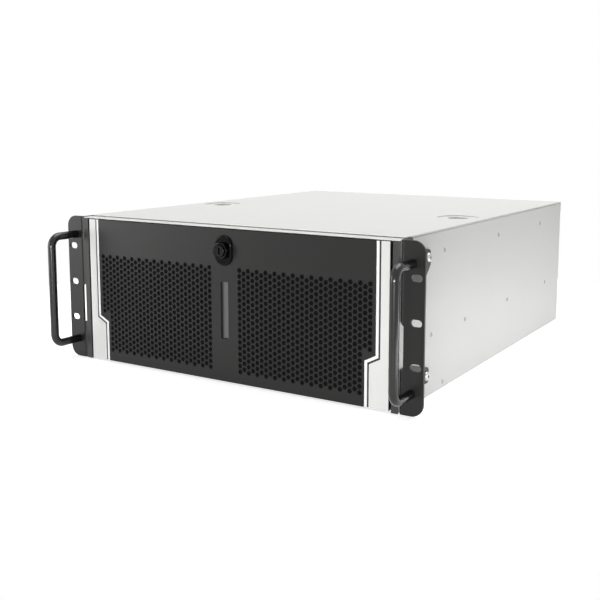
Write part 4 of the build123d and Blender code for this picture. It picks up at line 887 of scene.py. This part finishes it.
class SERVER_OT_stage(bpy.types.Operator):
    """White floor, soft lamps and the camera"""
    bl_idname = "server.stage"
    bl_label = "Stage"

    def execute(self, context):
        scene = context.scene
        scene.view_settings.view_transform = "Standard"
        self.lay_floor(scene)
        self.hang_lamps(scene)
        self.set_camera(scene)
        return {"FINISHED"}

    def lay_floor(self, scene):
        """Pale round floor that shows white but keeps the shadow."""
        bm = bmesh.new()
        bmesh.ops.create_circle(bm, segments=64, radius=FLOOR_RADIUS, cap_ends=True)
        mesh = bpy.data.meshes.new("floor")
        bm.to_mesh(mesh)
        bm.free()
        floor = bpy.data.objects.new("floor", mesh)
        scene.collection.objects.link(floor)
        paint = bpy.data.materials.new("floor_white")
        paint.use_nodes = True
        tree = paint.node_tree
        tree.nodes.clear()
        lift = put(tree, "ShaderNodeMath", {0: seen_rays(tree), 1: FLOOR_GLOW}, operation="MULTIPLY")
        matt = put(tree, "ShaderNodeBsdfDiffuse", {"Color": linear("#E6E6E6")})
        glow = put(tree, "ShaderNodeEmission", {"Color": (1, 1, 1, 1), "Strength": lift.outputs[0]})
        both = put(tree, "ShaderNodeAddShader", {0: matt.outputs[0], 1: glow.outputs[0]})
        put(tree, "ShaderNodeOutputMaterial", {"Surface": both.outputs[0]})
        floor.data.materials.append(paint)

    def hang_lamps(self, scene):
        """White background where it is seen, a dim room that lights the server, and soft boxes."""
        world = bpy.data.worlds.new("studio")
        world.use_nodes = True
        scene.world = world
        tree = world.node_tree
        tree.nodes.clear()
        way = put(tree, "ShaderNodeTexCoord").outputs["Generated"]
        depth = put(tree, "ShaderNodeSeparateXYZ", {"Vector": way})
        room = put(tree, "ShaderNodeMapRange", {"Value": depth.outputs["Y"], "From Min": -0.7,
                                                "From Max": 0.3, "To Min": ROOM_FRONT,
                                                "To Max": ROOM_BEHIND})
        level = put(tree, "ShaderNodeMath", {0: seen_rays(tree), 1: room.outputs[0]}, operation="MAXIMUM")
        sky = put(tree, "ShaderNodeBackground", {"Color": (1, 1, 1, 1), "Strength": level.outputs[0]})
        put(tree, "ShaderNodeOutputWorld", {"Surface": sky.outputs[0]})
        for name, place, aim, wide, high, watts in LAMPS:
            lamp = bpy.data.lights.new(name, "AREA")
            lamp.shape = "RECTANGLE"
            lamp.size = wide
            lamp.size_y = high
            lamp.energy = watts
            thing = bpy.data.objects.new(name, lamp)
            scene.collection.objects.link(thing)
            thing.location = place
            thing.rotation_euler = (Vector(aim) - Vector(place)).to_track_quat("-Z", "Y").to_euler()

    def set_camera(self, scene):
        """Camera at the place and lens that the photograph was taken with."""
        lens = bpy.data.cameras.new("camera")
        lens.sensor_width = 36.0
        lens.lens = 53.345
        lens.shift_x = -0.0455
        lens.shift_y = -0.0842
        lens.clip_start = 0.01
        camera = bpy.data.objects.new("camera", lens)
        scene.collection.objects.link(camera)
        scene.camera = camera
        camera.location = CAMERA_PLACE
        right, down, roll = (math.radians(turn) for turn in CAMERA_TURN)
        look = Vector((-math.sin(right) * math.cos(down), math.cos(right) * math.cos(down), -math.sin(down)))
        turned_by = look.to_track_quat("-Z", "Y").to_matrix() @ Matrix.Rotation(roll, 3, "Z")
        camera.rotation_euler = turned_by.to_euler()


class SERVER_PT_panel(bpy.types.Panel):
    """Steps of the dressing, with its sizes and colours"""
    bl_idname = "SERVER_PT_panel"
    bl_label = "Rack Server"
    bl_space_type = "VIEW_3D"
    bl_region_type = "UI"
    bl_category = "Server"

    def draw(self, context):
        for step in STEPS:
            self.layout.operator(step.bl_idname)
        for group in (context.scene.server_sizes, context.scene.server_colours):
            for name in group.__annotations__:
                self.layout.prop(group, name)


STEPS = (SERVER_OT_finishes, SERVER_OT_case, SERVER_OT_inner_sheets, SERVER_OT_door_skin,
         SERVER_OT_door_trims, SERVER_OT_filters, SERVER_OT_lock, SERVER_OT_handles, SERVER_OT_ears,
         SERVER_OT_fasteners, SERVER_OT_guards, SERVER_OT_cards, SERVER_OT_stage)
CLASSES = (ServerSizes, ServerColours) + STEPS + (SERVER_PT_panel,)


def register():
    """Adds the classes and the scene's settings."""
    for kind in CLASSES:
        bpy.utils.register_class(kind)
    bpy.types.Scene.server_sizes = PointerProperty(type=ServerSizes)
    bpy.types.Scene.server_colours = PointerProperty(type=ServerColours)


def unregister():
    """Takes them away again."""
    del bpy.types.Scene.server_colours
    del bpy.types.Scene.server_sizes
    for kind in reversed(CLASSES):
        bpy.utils.unregister_class(kind)


def main():
    """Registers the classes and makes every piece in order."""
    register()
    FINISHES.update(make_finishes())
    bpy.ops.server.finishes()
    bpy.ops.server.case()
    bpy.ops.server.inner_sheets()
    bpy.ops.server.door_skin()
    bpy.ops.server.door_trims()
    bpy.ops.server.filters()
    bpy.ops.server.lock()
    bpy.ops.server.handles()
    bpy.ops.server.ears()
    bpy.ops.server.fasteners()
    bpy.ops.server.guards()
    bpy.ops.server.cards()
    bpy.ops.server.stage()
    bpy.context.view_layer.update()


if __name__ == "__main__":
    main()
